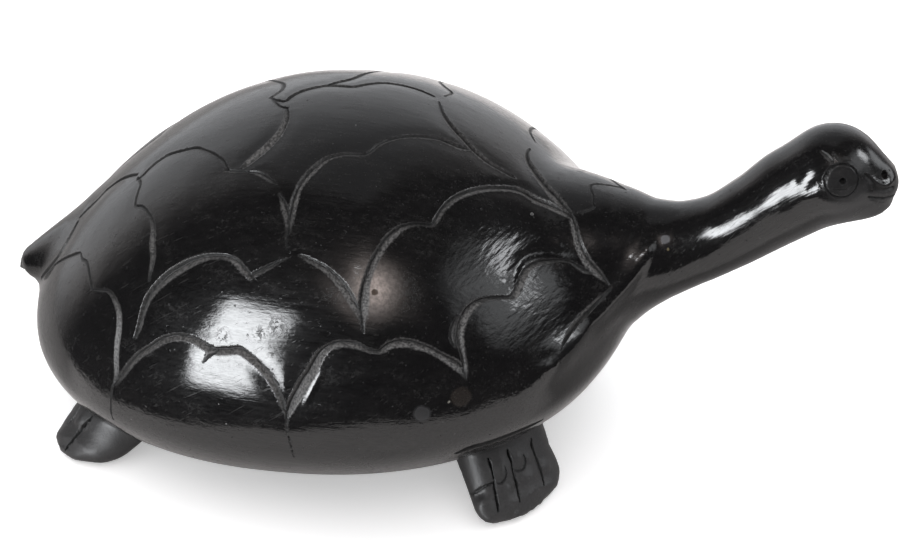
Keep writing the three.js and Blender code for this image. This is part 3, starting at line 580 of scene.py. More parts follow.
# The fold where the shell hangs over a front foot: its places, depth, lean and how far the painted shade in
# it reaches. Its dark band is painted shade under the shell's edge.
FOLD_DEPTH, FOLD_LEAN, FOLD_SHADE_REACH = 1.5, 0.2, 1.6
SHELL_FOLD = [(16.6, -57.7, 31.6, 1), (19.7, -56.1, 32.9, 2.2), (24.4, -52.8, 33, 2.4),
              (29.1, -49.1, 33.4, 2.2), (33.6, -44.6, 33.7, 1.6), (36.2, -41.2, 33.9, 0.6)]
# How much the toe cuts fall away beside their edges, and how far the painted shade along their bottoms
# reaches.
TOE_SHOULDER, TOE_SHADE_REACH = 0.3, 0.7
# Toe cuts and knuckle marks: places along the foot, across it, up, and the width there, in mm, then the
# cut's depth and how pale it is.
FRONT_TOE_LINES = {
    "first_gap": ([(8.3, 7.8, 15.8, 0.6), (9.2, 7.8, 14.7, 0.9), (10.2, 7.9, 13.5, 0.5),
                   (11.6, 8, 11.5, 0.4), (12.6, 8.4, 10, 0.8), (14, 8.4, 8.3, 1), (15.4, 8.5, 6.3, 0.9),
                   (17.1, 8.9, 4.7, 0.3)], 1.2, 0.0),
    "second_gap": ([(9.4, 2.1, 16.8, 0.6), (10.3, 2.1, 15.7, 1.2), (11.4, 2, 14.3, 0.8),
                    (12.7, 2.2, 12.2, 0.5), (14, 2, 10.3, 0.8), (15.3, 1.7, 7.9, 0.8),
                    (17.1, 1.8, 6.2, 0.7), (18.1, 1.8, 4.9, 0.3)], 1.2, 0.0),
    "third_gap": ([(8.8, -6.1, 16.2, 0.3), (10, -5.6, 15, 1), (11.1, -5.6, 13.5, 0.7),
                   (12.7, -6, 11.2, 0.7), (14.2, -6.4, 8.9, 0.7), (15.5, -6.7, 6.8, 0.6),
                   (17.2, -6.7, 5.4, 0.3)], 1.1, 0.0),
    "side_fold": ([(8.2, 13.9, 6.2, 0.5), (9.4, 13.2, 7.9, 1), (10.4, 12, 9.3, 1.1),
                   (11.3, 10.1, 10.3, 0.7), (11.9, 8.6, 10.8, 0.4)], 0.6, 0.4),
    "first_knuckle": ([(12.5, 7.8, 10.5, 0.3), (13.1, 6.7, 10.3, 0.5), (13.2, 5.4, 10.7, 0.5),
                       (12.8, 4.6, 11.5, 0.5), (12.1, 4.3, 12.6, 0.4), (11.4, 4.4, 13.6, 0.2)], 0.35, 0.1),
    "second_knuckle": ([(13, 1.6, 11.9, 0.3), (13.4, 0.4, 11.4, 0.5), (13.4, -0.9, 11.3, 0.5),
                        (12.9, -1.8, 12, 0.6), (12.1, -2.1, 13.2, 0.5), (11.3, -1.8, 14.4, 0.3)], 0.4, 0.1),
}
REAR_TOE_LINES = {
    "wide_gap": ([(14.9, -0.6, 11.7, 0.5), (16, -0.3, 10.3, 1.1), (17.1, 0, 8.8, 1.6),
                  (18.3, 0.2, 7.5, 1.6), (19.8, 0, 6.4, 1.4), (21, 0.1, 5.1, 1), (21.9, 0.7, 3.4, 0.8),
                  (22.7, 0.8, 2.2, 0.5)], 1.4, 0.0),
    "outer_gap": ([(13.4, 5.2, 12.2, 0.4), (14.6, 5.2, 10.7, 1), (15.7, 5.1, 9.5, 1.1),
                   (16.6, 5.4, 8.3, 0.8), (17.6, 5.5, 6.9, 0.3)], 0.8, 0.0),
}
# Balls and hollows of the toes: along the foot, across it and up, radius and height in mm.
FRONT_TOE_BALLS = [(13.4, 12.3, 6.4, 2.6, 0.6), (11, 12.4, 8.2, 1.4, -0.6), (14.6, 5.4, 8.2, 2.4, 0.5),
                   (11.6, 5.6, 12.8, 2, 0.4), (15, -2.6, 8.2, 2.8, 0.6), (11.6, -0.3, 14, 2, 0.4),
                   (14, -8.6, 8.6, 2, 0.5), (12.1, -3.4, 13, 1.1, 0.3)]
REAR_TOE_BALLS = [(16.4, 2.2, 9.6, 1.6, 0.5), (18.5, 5.5, 6.2, 2, 0.3)]


# Raised lips on the right side: places along each with its height in mm, and how far it reaches to the left
# and the right of its run.
LIPS = {
    "collar_ridge": ([(59.3, -11.4, 72.6, 0.3), (57.4, -13.7, 70.3, 1.2), (55.7, -15.7, 67.6, 1.4),
                      (53.5, -17.8, 64.5, 1.4), (50.7, -20, 61.3, 1.4), (48, -22.4, 58.1, 1.3),
                      (45.7, -24.9, 56.2, 1), (44.4, -28.5, 54.6, 0.6), (42, -34, 52.5, 0.2)], 2.4, 3.0),
    "front_burr": ([(26.6, -34.4, 70.4, 0.1), (26.4, -31.9, 72.2, 0.3), (26.6, -29.1, 73.5, 0.4),
                    (27.6, -26, 74.4, 0.5), (29.5, -23.5, 74.4, 0.6), (32.6, -21.4, 74, 0.6),
                    (36, -20.7, 73.2, 0.4), (39, -20.2, 72.3, 0.1)], 1.5, 1.0),
    "side_burr": ([(-22.3, -66.5, 48.1, 0.05), (-21.1, -65.8, 51, 0.25), (-19.9, -64.9, 53.8, 0.3),
                   (-18.7, -64, 56.3, 0.25), (-17.6, -63, 58.6, 0.05)], 0.9, 0.9),
    "rear_burr": ([(-63.7, -44.7, 71, 0.05), (-59.5, -44.4, 73.7, 0.2), (-55.4, -44.3, 75.9, 0.25),
                   (-50.9, -44.5, 77.6, 0.2), (-46.3, -45.2, 78.7, 0.05)], 0.8, 0.8),
}
# The same on both sides of the head.
FACE_LIPS = {
    "nose_wing": ([(115.4, -7.7, 100, 0.1), (116.3, -7.3, 98.9, 0.5), (117.3, -6.8, 98, 0.7),
                   (118.4, -6.2, 97.3, 0.7), (119.6, -5.2, 97, 0.6), (120.5, -4, 97.1, 0.4),
                   (121.2, -2.4, 97.3, 0.1)], 1.0, 1.0),
    "eye_rim": ([(104.9, -10.9, 102.9, 0.05), (106.9, -9.9, 103.9, 0.2), (108.6, -9.4, 104, 0.25),
                 (110.5, -9.3, 103.2, 0.2), (111.6, -9.8, 101.8, 0.05)], 0.5, 0.5),
}
# Shallow dents: centre, the way each runs, half length, half width and depth in mm. The lump stands out.
DENTS = {
    "belly_mark": ((-1.3, -65.7, 35.7), (1, 0.2, 0.15), 5.5, 1.6, 0.3),
    "small_belly_mark": ((6.8, -63.6, 37.2), (1, 0.2, 0.1), 2.4, 1.0, 0.2),
    "collar_hollow": ((37.7, -39.6, 53.7), (0.7, 0.6, 0.1), 3.0, 1.8, 0.5),
    "pit": ((-6.8, -50.2, 75.8), (0.1, -0.3, -1), 0.9, 0.5, 0.25),
    "nose_top": ((118.3, -1.2, 103.2), (0.3, 1, 0), 4.0, 2.2, 0.3),
    "eye_hollow": ((101.2, -12.3, 98.8), (0.7, -0.1, 0.6), 3.6, 1.7, 0.35),
    "neck_fold": ((96.3, -10.0, 99.0), (0.35, -0.55, -0.75), 2.6, 1.5, 0.22),
    "collar_lump": ((58.6, -11.6, 72.6), (0.3, -0.5, -0.7), 2.6, 1.8, -0.9),
}


# A line on the body's surface, with the box round it and the way to its left.
class SurfaceLine:
    def __init__(self, rows, pad):
        self.rows = rows
        self.low, self.high = rows.min(0) - pad, rows.max(0) + pad
        run = unit(np.diff(rows, axis=0))
        self.left = unit(np.cross(unit(gradient((rows[1:] + rows[:-1]) / 2, body_gap)), run))

    def near(self, p, margin=0):
        return np.flatnonzero(np.all((p > self.low - margin) & (p < self.high + margin), axis=1))

    # Distance from the line, how far to its left, and each of the values given along it.
    def measure(self, p, *values):
        gap, pick, share = line_distance(p, self.rows)
        foot = self.rows[pick] + share[:, None] * (self.rows[pick + 1] - self.rows[pick])
        left = ((p - foot) * self.left[pick]).sum(1)
        return gap, left, *(value[pick] * (1 - share) + value[pick + 1] * share for value in values)


# A carved line: a path on the surface with a width at each row. The cut is a lopsided V whose steep wall is
# on the side that the path keeps on its left.
class Cut(SurfaceLine):
    def __init__(self, rows, widths, depth=None, lean=CUT_LEAN, shoulder=SHOULDER_FALL, pale=1.0, dark=1.0,
                 reach=SHADE_REACH):
        super().__init__(rows, widths.max() / 2 + SHOULDER_REACH * 2.6)
        self.widths = widths
        if depth is None:
            depth = np.minimum(widths * CUT_DEPTH_SHARE, CUT_DEPTH_MOST)
        self.depth = np.broadcast_to(depth, widths.shape)
        self.lean, self.shoulder, self.pale, self.dark, self.reach = lean, shoulder, pale, dark, reach

    # How deep the surface lies under the uncut one, the marks there (cut, pale, and deep, the painted shade
    # along the bottom), and the distances to the cut's edge and to its bottom line.
    def carve(self, p):
        gap, left, width, depth = self.measure(p, self.widths, self.depth)
        place = gap * np.sign(left + 1e-9)
        half = np.maximum(width / 2, 0.05)
        q = place / half
        lean = self.lean
        wall = np.where(q > lean, (1 - q) / (1 - lean), (1 + q) / (1 + lean))
        wall = np.clip(wall, 0, 1)
        edge = np.abs(place) - half
        fall = self.shoulder * np.minimum(depth, 1) * np.exp(-(np.maximum(edge, 0) / SHOULDER_REACH) ** 2)
        cut = np.clip(0.75 - edge / EDGE_SOFTNESS, 0, 1)
        broad = np.clip((width - PALE_FROM) / (PALE_FULL - PALE_FROM), 0.15, 1)
        bottom = place - lean * half
        # Painted shade: the clay darkens along the bottom line of the cut.
        deep = np.clip(1.3 - np.abs(bottom) / self.reach, 0, 1) * (edge < 0.1)
        return wall * depth + fall, (cut, cut * broad * self.pale, deep * self.dark), edge, bottom


# The spot on the whole body straight out from the shell's axis at a station and an angle.
def body_spot(station, angle):
    x = SHELL_CENTRE_X + station
    turn = np.radians(angle)
    u, width, dome, belly, rim = shell_sizes(x)
    height = np.where(np.cos(turn) >= 0, dome, belly)
    centre = np.stack([x, 0 * x, rim], 1)
    out = np.stack([0 * x, -width * np.sin(turn), height * np.cos(turn)], 1)
    tries = np.linspace(0.15, 1.5, 28)
    gaps = np.stack([body_gap(centre + t * out) for t in tries], 1)
    last = len(tries) - 1 - np.argmax(gaps[:, ::-1] < 0, axis=1)
    low = tries[last]
    high = low + tries[1] - tries[0]
    for _ in range(12):
        middle = (low + high) / 2
        inside = body_gap(centre + middle[:, None] * out) < 0
        low, high = np.where(inside, middle, low), np.where(inside, high, middle)
    return centre + low[:, None] * out


def line_path(spots, side=1):
    spots = np.array(spots, float)
    count = max(8, int(len(spots) * 4))
    fine = spline(spots, count)
    return body_spot(fine[:, 0], side * fine[:, 1]), np.maximum(fine[:, 2] * CUT_WIDTH_SHARE, 0.1)


def arc_path(chain, side, width):
    rows = []
    for i in range(0, len(chain) - 2, 2):
        start, bend, end = (np.array(chain[i + k], float) for k in range(3))
        t = np.linspace(0, 1, 14)[:, None]
        rows.append((1 - t) ** 2 * start + 2 * t * (1 - t) * bend + t * t * end)
    flat = np.vstack(rows)
    keep = np.r_[True, np.linalg.norm(np.diff(flat, axis=0), axis=1) > 1e-6]
    flat = flat[keep]
    path = body_spot(flat[:, 0], side * flat[:, 1])
    along = np.r_[0, np.cumsum(np.linalg.norm(np.diff(path, axis=0), axis=1))]
    ends = np.minimum(along, along[-1] - along)
    return path, width * np.clip(0.25 + ends / 7, 0, 1)


# A line through places given in millimetres, laid on the body. Side -1 mirrors it to the left.
def free_path(places, side=1, samples=6):
    places = np.array(places, float)
    fine = spline(places, max(8, len(places) * samples))
    path = project(fine[:, :3] * (1, side, 1), body_gap, 3)
    return path, np.maximum(fine[:, 3], 0.1)


# Cuts on the head: the eye ring, the nicks over it, the crease under the nose and the mouth, on both sides.
def face_cuts():
    cuts = []
    for side in (1, -1):
        turn = np.linspace(0, 2 * math.pi, 49)
        outward = unit(gradient(np.array([EYE]), body_gap))[0]
        ahead = unit(np.cross(outward, (0, 0, 1)))
        upright = np.cross(ahead, outward)
        ring = np.cos(turn)[:, None] * ahead + np.sin(turn)[:, None] * upright
        ring = project(np.array(EYE) + EYE_RING_RADIUS * ring, body_gap, 4) * (1, side, 1)
        cuts.append(Cut(ring, np.full(len(ring), EYE_RING_WIDTH), depth=EYE_RING_DEPTH,
                        lean=EYE_RING_LEAN * side, shoulder=FACE_SHOULDER, pale=0.0))
        for places, depth, pale, dark in FACE_LINES.values():
            path, width = free_path(places, side)
            cuts.append(Cut(path, width, depth=depth, lean=FACE_LEAN * side, shoulder=FACE_SHOULDER,
                            pale=pale, dark=dark))
    return cuts


# Toe cuts and knuckle marks of a foot, given in its straightened frame on its upper side.
def foot_cuts():
    cuts = []
    for foot, lines in ((FRONT_FOOT, FRONT_TOE_LINES), (REAR_FOOT, REAR_TOE_LINES)):
        for side in (1, -1):
            for places, depth, pale in lines.values():
                places = np.array(places, float)
                spots = foot_world(places[:, :3], foot)
                path, width = free_path(np.column_stack([spots, places[:, 3]]), side)
                cuts.append(Cut(path, width, depth=depth, lean=0.0, shoulder=TOE_SHOULDER, pale=pale,
                                reach=TOE_SHADE_REACH))
    # The fold under the shell's edge, on both sides, darkened with painted shade.
    for side in (1, -1):
        path, width = free_path(SHELL_FOLD, side)
        cuts.append(Cut(path, width, depth=FOLD_DEPTH, lean=FOLD_LEAN * side, shoulder=0.0, pale=0.0,
                        reach=FOLD_SHADE_REACH))
    return cuts


def shell_cuts():
    cuts = [Cut(*line_path(spots)) for spots in NEAR_LINES.values()]
    for spots in NEAR_CRACKS.values():
        path, width = line_path(spots)
        cuts.append(Cut(path, width, depth=CRACK_DEPTH, lean=0.0, shoulder=0.0, pale=CRACK_PALE))
    for chain in FAR_ARCS.values():
        path, width = arc_path(chain, -1, FAR_WIDTH)
        cuts.append(Cut(path, width, lean=-CUT_LEAN))
    return cuts


CUTS = shell_cuts() + face_cuts() + foot_cuts()


# Depth of all the carving at each point, the marks it leaves (cut, pale, and deep, the painted shade in the
# bottoms of cuts and holes), the distance to the nearest cut's edge, and the distance to the bottom line of
# the deepest cut there.
def carving(p):
    depth = np.zeros(len(p))
    marks = np.zeros((3, len(p)))
    edge = np.full(len(p), FAR)
    bottom = np.full(len(p), FAR)
    for cut in CUTS:
        near = cut.near(p)
        if len(near):
            d, m, e, b = cut.carve(p[near])
            deeper = d > depth[near]
            depth[near[deeper]] = d[deeper]
            bottom[near[deeper]] = b[deeper]
            marks[:, near] = np.maximum(marks[:, near], m)
            edge[near] = np.minimum(edge[near], e)
    bored, rim = holes(p)
    marks[0] = np.maximum(marks[0], bored > 0.05)
    # Painted shade darkens the depths of the pupils and nostrils.
    marks[2] = np.maximum(marks[2], bored > 0.3)
    return np.maximum(depth, bored), marks, np.minimum(edge, rim), bottom


# A raised lip with a height at each place.
class Lip(SurfaceLine):
    def __init__(self, places, left_reach, right_reach, side=1):
        places = np.array(places, float) * (1, side, 1, 1)
        fine = spline(places, len(places) * 5)
        super().__init__(project(fine[:, :3], body_gap, 3), 2.5 * max(left_reach, right_reach))
        self.height = fine[:, 3]
        self.reach = (left_reach, right_reach)

    def lift(self, p):
        gap, left, height = self.measure(p, self.height)
        return height * np.exp(-(gap / np.where(left > 0, *self.reach)) ** 2)


LIP_LINES = [Lip(*lip) for lip in LIPS.values()]
LIP_LINES += [Lip(*lip, side) for lip in FACE_LIPS.values() for side in (1, -1)]


# Toe balls as centre, radius and height.
def toe_balls():
    balls = []
    for foot, rows in ((FRONT_FOOT, FRONT_TOE_BALLS), (REAR_FOOT, REAR_TOE_BALLS)):
        for along, across, up, radius, height in rows:
            spot = foot_world(np.array([[along, across, up]], float), foot)[0]
            balls += [(spot * (1, side, 1), radius, height) for side in (1, -1)]
    return balls


TOE_BALLS = toe_balls()


# Distance from each point to the nearest small form, for the size of the triangles there.
def form_edge(p):
    out = np.full(len(p), FAR)
    for lip in LIP_LINES:
        near = lip.near(p, 3)
        if len(near):
            out[near] = np.minimum(out[near], line_distance(p[near], lip.rows)[0] - max(lip.reach))
    for centre, radius, _ in TOE_BALLS:
        out = np.minimum(out, np.linalg.norm(p - centre, axis=1) - radius)
    return out


def soft_forms(p):
    out = np.zeros(len(p))
    for lip in LIP_LINES:
        near = lip.near(p)
        if len(near):
            out[near] += lip.lift(p[near])
    for centre, run, length, width, depth in DENTS.values():
        away = p - np.array(centre)
        along = away @ unit(np.array(run, float))
        across = np.sqrt(np.maximum((away ** 2).sum(1) - along ** 2, 0))
        out -= depth * np.exp(-(along / length) ** 2 - (across / width) ** 2)
    for centre, radius, height in TOE_BALLS:
        out += height * np.exp(-((p - centre) ** 2).sum(1) / radius ** 2)
    return out


# Round holes of the pupils and nostrils.
def holes(p):
    depth = np.zeros(len(p))
    edge = np.full(len(p), FAR)
    for centre, radius, deep in (PUPIL, NOSTRIL):
        for side in (1, -1):
            gap = np.linalg.norm(p - np.array(centre) * (1, side, 1), axis=1)
            bowl = np.clip(1 - (gap / radius) ** 4, 0, 1)
            depth = np.maximum(depth, deep * np.sqrt(bowl))
            edge = np.minimum(edge, gap - radius)
    return depth, edge


# Smooth value noise from -1 to 1 on a lattice whose numbers come from the lattice point alone.
def noise(p, size, seed):
    q = p / size + 100 * seed
    base = np.floor(q).astype(np.int64)
    t = q - base
    t = t * t * t * (t * (6 * t - 15) + 10)
    out = np.zeros(len(p))
    for corner in range(8):
        pick = np.array([(corner >> k) & 1 for k in range(3)])
        at = base + pick
        mixed = (at[:, 0] * 73856093) ^ (at[:, 1] * 19349663) ^ (at[:, 2] * 83492791)
        mixed = (mixed * 2654435761 + 12345) & 0xFFFFFFFF
        mixed = ((mixed >> 13) ^ mixed) * 1274126177 & 0xFFFFFFFF
        value = (mixed & 0xFFFF) / 32767.5 - 1
        out += value * np.prod(np.where(pick == 1, t, 1 - t), axis=1)
    return out


# Unevenness left by the hand, as height and size in mm: a broad swell, and dabs that run lengthwise.
SWELL = (0.2, 26.0)
DABS = [(0.07, 9.0), (0.022, 4.0)]
DAB_STRETCH = (0.45, 1, 1)


def swell(p):
    out = SWELL[0] * noise(p, SWELL[1], 1)
    for seed, (height, size) in enumerate(DABS, 2):
        out += height * noise(p * DAB_STRETCH, size, seed)
    return out


def relief(p):
    return swell(p) + soft_forms(p) - carving(p)[0]


# Cuts the triangles along the line where a level is 0, so that the line comes out clean. A corner close to
# the line moves onto it, and other edges that cross it are split there.
def slice_mesh(points, faces, level, wanted):
    value = level(points)
    active = wanted(points, value)
    edges, _ = edges_of(faces)
    start, end = edges.T
    crosses = active[start] & active[end] & ((value[start] < 0) != (value[end] < 0))
    start, end = start[crosses], end[crosses]
    share = value[start] / (value[start] - value[end])
    moved = points.copy()
    for corner, other, part in ((start, end, share), (end, start, 1 - share)):
        close = part < SNAP_SHARE
        here, there = points[corner[close]], points[other[close]]
        moved[corner[close]] = here + part[close, None] * (there - here)
    before, after = face_normals(points, faces), face_normals(moved, faces)
    turned = (before * after).sum(1) < 0.5
    moved[faces[turned].ravel()] = points[faces[turned].ravel()]
    points = project(moved, body_gap, 1)
    value = level(points)
    value[np.abs(value) < 0.02] = 0
    edges, sides = edges_of(faces)
    start, end = edges.T
    low, high = value[start], value[end]
    length = np.linalg.norm(points[start] - points[end], axis=1)
    steep = np.abs(low - high) < 1.5 * length + 0.05
    marked = active[start] & active[end] & (low * high < 0) & steep
    share = (low / np.where(marked, low - high, 1))[:, None]
    fresh = np.full(len(edges), -1)
    fresh[marked] = len(points) + np.arange(marked.sum())
    crossing = (points[start] + share * (points[end] - points[start]))[marked]
    points = np.vstack([points, project(crossing, body_gap, 1)])
    return points, split_faces(points, faces, fresh[sides])


def face_normals(points, faces):
    a, b, c = (points[faces[:, k]] for k in range(3))
    return unit(np.cross(b - a, c - a))


EYE_DULLNESS, CHEEK_DULLNESS = 0.3, 0.55
CHEEK_START, CHEEK_TOP = 103, 101.5
NOSE_START, NOSE_BOTTOM = 114.5, 95.5


# How dull the clay is: the feet, the cheeks and the discs of the eyes are less polished than the rest.
def dullness(p):
    folded = p * (1, 0, 1) + np.abs(p) * (0, 1, 0)
    foot = np.minimum(*(limb.gap(foot_frame(folded, foot)) for foot, limb in FEET))
    shell = shell_gap(p)
    feet = np.clip((shell - foot) / 3, 0, 1) * (p[:, 2] < 40)
    away = np.linalg.norm(folded - np.array(EYE) * (1, -1, 1), axis=1)
    eyes = np.clip((EYE_RING_RADIUS + 0.6 - away) / 0.6, 0, 1)
    x, z = p[:, 0], p[:, 2]
    cheeks = np.clip((x - CHEEK_START) / 6, 0, 1) * np.clip((CHEEK_TOP - z) / 3, 0, 1)
    nose = np.clip((x - NOSE_START) / 2, 0, 1) * np.clip((z - NOSE_BOTTOM) / 1.5, 0, 1)
    return np.maximum(np.maximum(feet, EYE_DULLNESS * eyes), CHEEK_DULLNESS * cheeks * (1 - nose))


# Height of the neck's middle over the shell's front, which turns the lengthwise streaks up along the neck.
def neck_rise(p):
    along, up = NECK_LIMB.rows[:, 0], NECK_LIMB.rows[:, 1]
    return np.interp(p[:, 0], along, up - up[0]) * np.clip((p[:, 0] - 45) / 30, 0, 1)


def make_body():
    points, faces = surface_mesh(body_gap, *BODY_BOX, COARSE_STEP)
    points = project(points, body_gap, 3)
    points = relax(points, faces, body_gap, 4)

    def wanted(p):
        edge = np.minimum(np.maximum(carving(p)[2], 0), np.maximum(form_edge(p), 0) + 1.2)
        return np.clip(FINE_STEP + STEP_GROWTH * np.maximum(edge - 0.3, 0), FINE_STEP, COARSE_STEP * 1.1)

    points, faces = refine(points, faces, body_gap, wanted)
    points, faces = slice_mesh(points, faces, lambda p: carving(p)[2], lambda p, level: np.abs(level) < 3)
    points, faces = slice_mesh(points, faces, lambda p: carving(p)[3], lambda p, level: carving(p)[2] < 0.02)
    normal = unit(gradient(points, body_gap))
    first = unit(np.cross(normal, np.where(np.abs(normal[:, 2:3]) < 0.8, [[0, 0, 1.0]], [[1.0, 0, 0]])))
    second = np.cross(normal, first)
    step = 0.1
    shaded = normal
    for axis in (first, second):
        slope = (relief(points + step * axis) - relief(points - step * axis)) / (2 * step)
        shaded = shaded - slope[:, None] * axis
    shaded = unit(shaded)
    depth, (cut, pale, deep), _, _ = carving(points)
    moved = points + (swell(points) + soft_forms(points) - depth)[:, None] * normal
    sole = moved[:, 2] < 0
    moved[sole, 2] = 0
    shaded[sole & (normal[:, 2] < -0.2)] = (0, 0, -1)
    # The deep mark carries the painted shade along the bottoms of cuts and holes.
    marks = {"cut": cut, "pale": pale, "deep": deep, "dull": dullness(points), "rise": neck_rise(points) * MM}
    return moved, faces, shaded, marks


def mesh_object(name, points, faces, normals, marks):
    mesh = bpy.data.meshes.new(name)
    mesh.from_pydata((points * MM).tolist(), [], faces.tolist())
    mesh.polygons.foreach_set("use_smooth", [True] * len(mesh.polygons))
    for mark, values in marks.items():
        attribute = mesh.attributes.new(mark, "FLOAT", "POINT")
        attribute.data.foreach_set("value", values.astype(np.float32))
    mesh.normals_split_custom_set_from_vertices(normals.tolist())
    made = bpy.data.objects.new(name, mesh)
    bpy.context.scene.collection.objects.link(made)
    return made


# Nodes of a material, made by short calls.
class Nodes:
    def __init__(self, owner):
        if isinstance(owner, str):
            owner = bpy.data.materials.new(owner)
            owner.use_nodes = True
        self.material = owner
        self.tree = owner.node_tree
        nodes = self.tree.nodes
        self.shader = nodes.get("Principled BSDF") or nodes.get("Background") or nodes["Emission"]

    def link(self, value, socket):
        if isinstance(value, bpy.types.NodeSocket):
            self.tree.links.new(value, socket)
        else:
            socket.default_value = value

    def add(self, kind, out=0, settings=None, **inputs):
        node = self.tree.nodes.new("ShaderNode" + kind)
        for key, value in (settings or {}).items():
            setattr(node, key, value)
        for key, value in inputs.items():
            self.link(value, node.inputs[int(key[1:]) if key[1:].isdigit() else key])
        return node.outputs[out]

    def math(self, operation, a, b=0.0, clamp=False):
        return self.add("Math", settings={"operation": operation, "use_clamp": clamp}, i0=a, i1=b)

    def times(self, a, b):
        return self.math("MULTIPLY", a, b)

    def plus(self, a, b, clamp=False):
        return self.math("ADD", a, b, clamp)

    # Rises smoothly from one value to another while the input goes from low to high.
    def ramp(self, value, low, high, to_low=0.0, to_high=1.0):
        return self.add("MapRange", settings={"interpolation_type": "SMOOTHSTEP"}, i0=value, i1=low, i2=high,
                        i3=to_low, i4=to_high)

    def mix(self, share, a, b):
        return self.add("Mix", out=2, settings={"data_type": "RGBA"}, i0=share, i6=a, i7=b)

    def place(self):
        return self.add("TexCoord", out=3)

    def scaled(self, vector, scale):
        return self.add("VectorMath", settings={"operation": "MULTIPLY"}, i0=vector, i1=scale)

    def cloud(self, name, vector):
        stretch, scale, detail, roughness = CLOUDS[name]
        if stretch:
            vector = self.scaled(vector, stretch)
        return self.add("TexNoise", Vector=vector, Scale=scale, Detail=detail, Roughness=roughness)

    def turned(self, vector, axis, degrees):
        return self.add("VectorRotate", settings={"rotation_type": axis + "_AXIS"}, Vector=vector,
                        Angle=math.radians(degrees))

    def mark(self, name):
        return self.add("Attribute", out=2, settings={"attribute_name": name})


# Noise of the clay: how it is stretched, its scale per metre, its detail and its roughness.
CLOUDS = {
    "streak": ((0.07, 1, 1), 800, 3, 0.6),
    "fine_streak": ((0.05, 1, 1), 2600, 3, 0.6),
    "patch": ((0.45, 1, 1), 130, 5, 0.7),
    "scratch": ((0.04, 1, 1), 1500, 2, 0.6),
    "dab": ((0.22, 1, 1), 720, 2, 0.5),
    "broad": (None, 40, 4, 0.6),
    "mottle": (None, 900, 4, 0.7),
    "fine": (None, 1700, 3, 0.6),
}
PIT_SCALE, DUST_SCALE, WOBBLE_SCALE, WOBBLE = 420.0, 380.0, 700.0, 0.7 * MM
SCRATCH_SLANT = 38.0
# Colours: the two tones of the black, worn and dusty clay, the two tones of dull clay and of clay bared in
# cuts, and the painted shade at their bottoms.
BLACK = ((0.0018, 0.0017, 0.0019, 1), (0.0034, 0.0031, 0.003, 1))
WORN, DUST = (0.0145, 0.0136, 0.0134, 1), (0.05, 0.05, 0.052, 1)
DULL = ((0.0145, 0.014, 0.0143, 1), (0.037, 0.036, 0.037, 1))
BARED = ((0.016, 0.0155, 0.0155, 1), (0.098, 0.095, 0.094, 1))
PAINTED_CUT_SHADE = (0.002, 0.0019, 0.002, 1)
# How blurred the gloss is, and what wear, dullness and dabs add to it.
BLUR, WORN_BLUR, DULL_BLUR, DAB_BLUR = 0.08, 0.14, 0.27, 0.05
# Heights of the finest relief in mm.
STREAK_HEIGHT, FINE_STREAK_HEIGHT, PATCH_HEIGHT, PIT_DEPTH = 0.04, 0.006, 0.09, 0.02
DAB_HEIGHT, CUT_GRAIN, DULL_GRAIN = 0.17, 0.14, 0.07
CLAY_IOR = 1.5
# Marks on the near side: place in mm, radius in mm, colour, and how much rougher the clay is there.
SPOTS = {
    "grey_disc": ((8.2, -62.1, 47.0), 2.5, (0.016, 0.016, 0.017), 0.2),
    "brown_disc": ((17.5, -57.1, 50.3), 3.0, (0.012, 0.0095, 0.008), 0.12),
    "disc_fleck": ((14.7, -58.8, 49.5), 0.4, (0.12, 0.115, 0.1), 0.3),
    "speck_1": ((-72.6, -59, 29.8), 0.28, (0.14, 0.14, 0.14), 0.3),
    "speck_2": ((-71.4, -59.5, 29.8), 0.25, (0.14, 0.14, 0.14), 0.3),
    "speck_3": ((-21.6, -7.5, 98.2), 0.25, (0.15, 0.15, 0.15), 0.3),
    "speck_4": ((-43.8, -66.4, 38.7), 0.22, (0.12, 0.12, 0.12), 0.3),
    "speck_5": ((-45.8, -65.3, 44.1), 0.2, (0.12, 0.12, 0.12), 0.3),
    "brown_pit": ((-6.8, -50.4, 75.6), 0.9, (0.035, 0.022, 0.014), 0.4),
    "grey_patch": ((62.8, -9.3, 74.6), 1.3, (0.05, 0.05, 0.055), 0.3),
    "yellow_speck": ((64, -10.8, 72.4), 0.4, (0.07, 0.055, 0.02), 0.3),
    "small_ring": ((27.4, -13.1, 80.2), 0.5, (0.09, 0.09, 0.09), 0.3),
    "ring_middle": ((27.4, -13.1, 80.2), 0.25, (0.004, 0.004, 0.004), 0.0),
}
# A rubbed matte haze round the pit: its middle, radius in mm and colour. Its pale warm colour is partly a
# painted glow of the lamp over the camera.
HAZE_AND_PAINTED_GLOW = ((-7.4, -50.0, 76.2), 12.0, (0.3, 0.25, 0.228))
# Patches where the polish is chipped away in fine pits, with their radius in mm.
CHIPPED = [((-45.8, -58.9, 61.7), 3.4), ((-35.6, -59.2, 64.2), 3.2), ((-31.0, -58.5, 66.6), 4.2),
           ((-31.5, -61.7, 60.6), 2.4), ((0.5, -49.0, 76.0), 8.0), ((-18.0, -52.0, 73.5), 4.0)]
# Where the burnishing tool left dabs that run up the shell: middle and radius in mm, and the way they run.
DABBED = ((31.0, -31.0, 69.0), 30.0)
DAB_HEADING = 70.0


# Share of 1 close to a place that fades to 0 at the radius, both in mm.
def near_place(n, where, place, radius, core=0.0):
    spot = tuple(v * MM for v in place)
    away = n.add("VectorMath", out=1, settings={"operation": "DISTANCE"}, i0=where, i1=spot)
    return n.ramp(away, core * radius * MM, radius * MM, 1.0, 0.0)


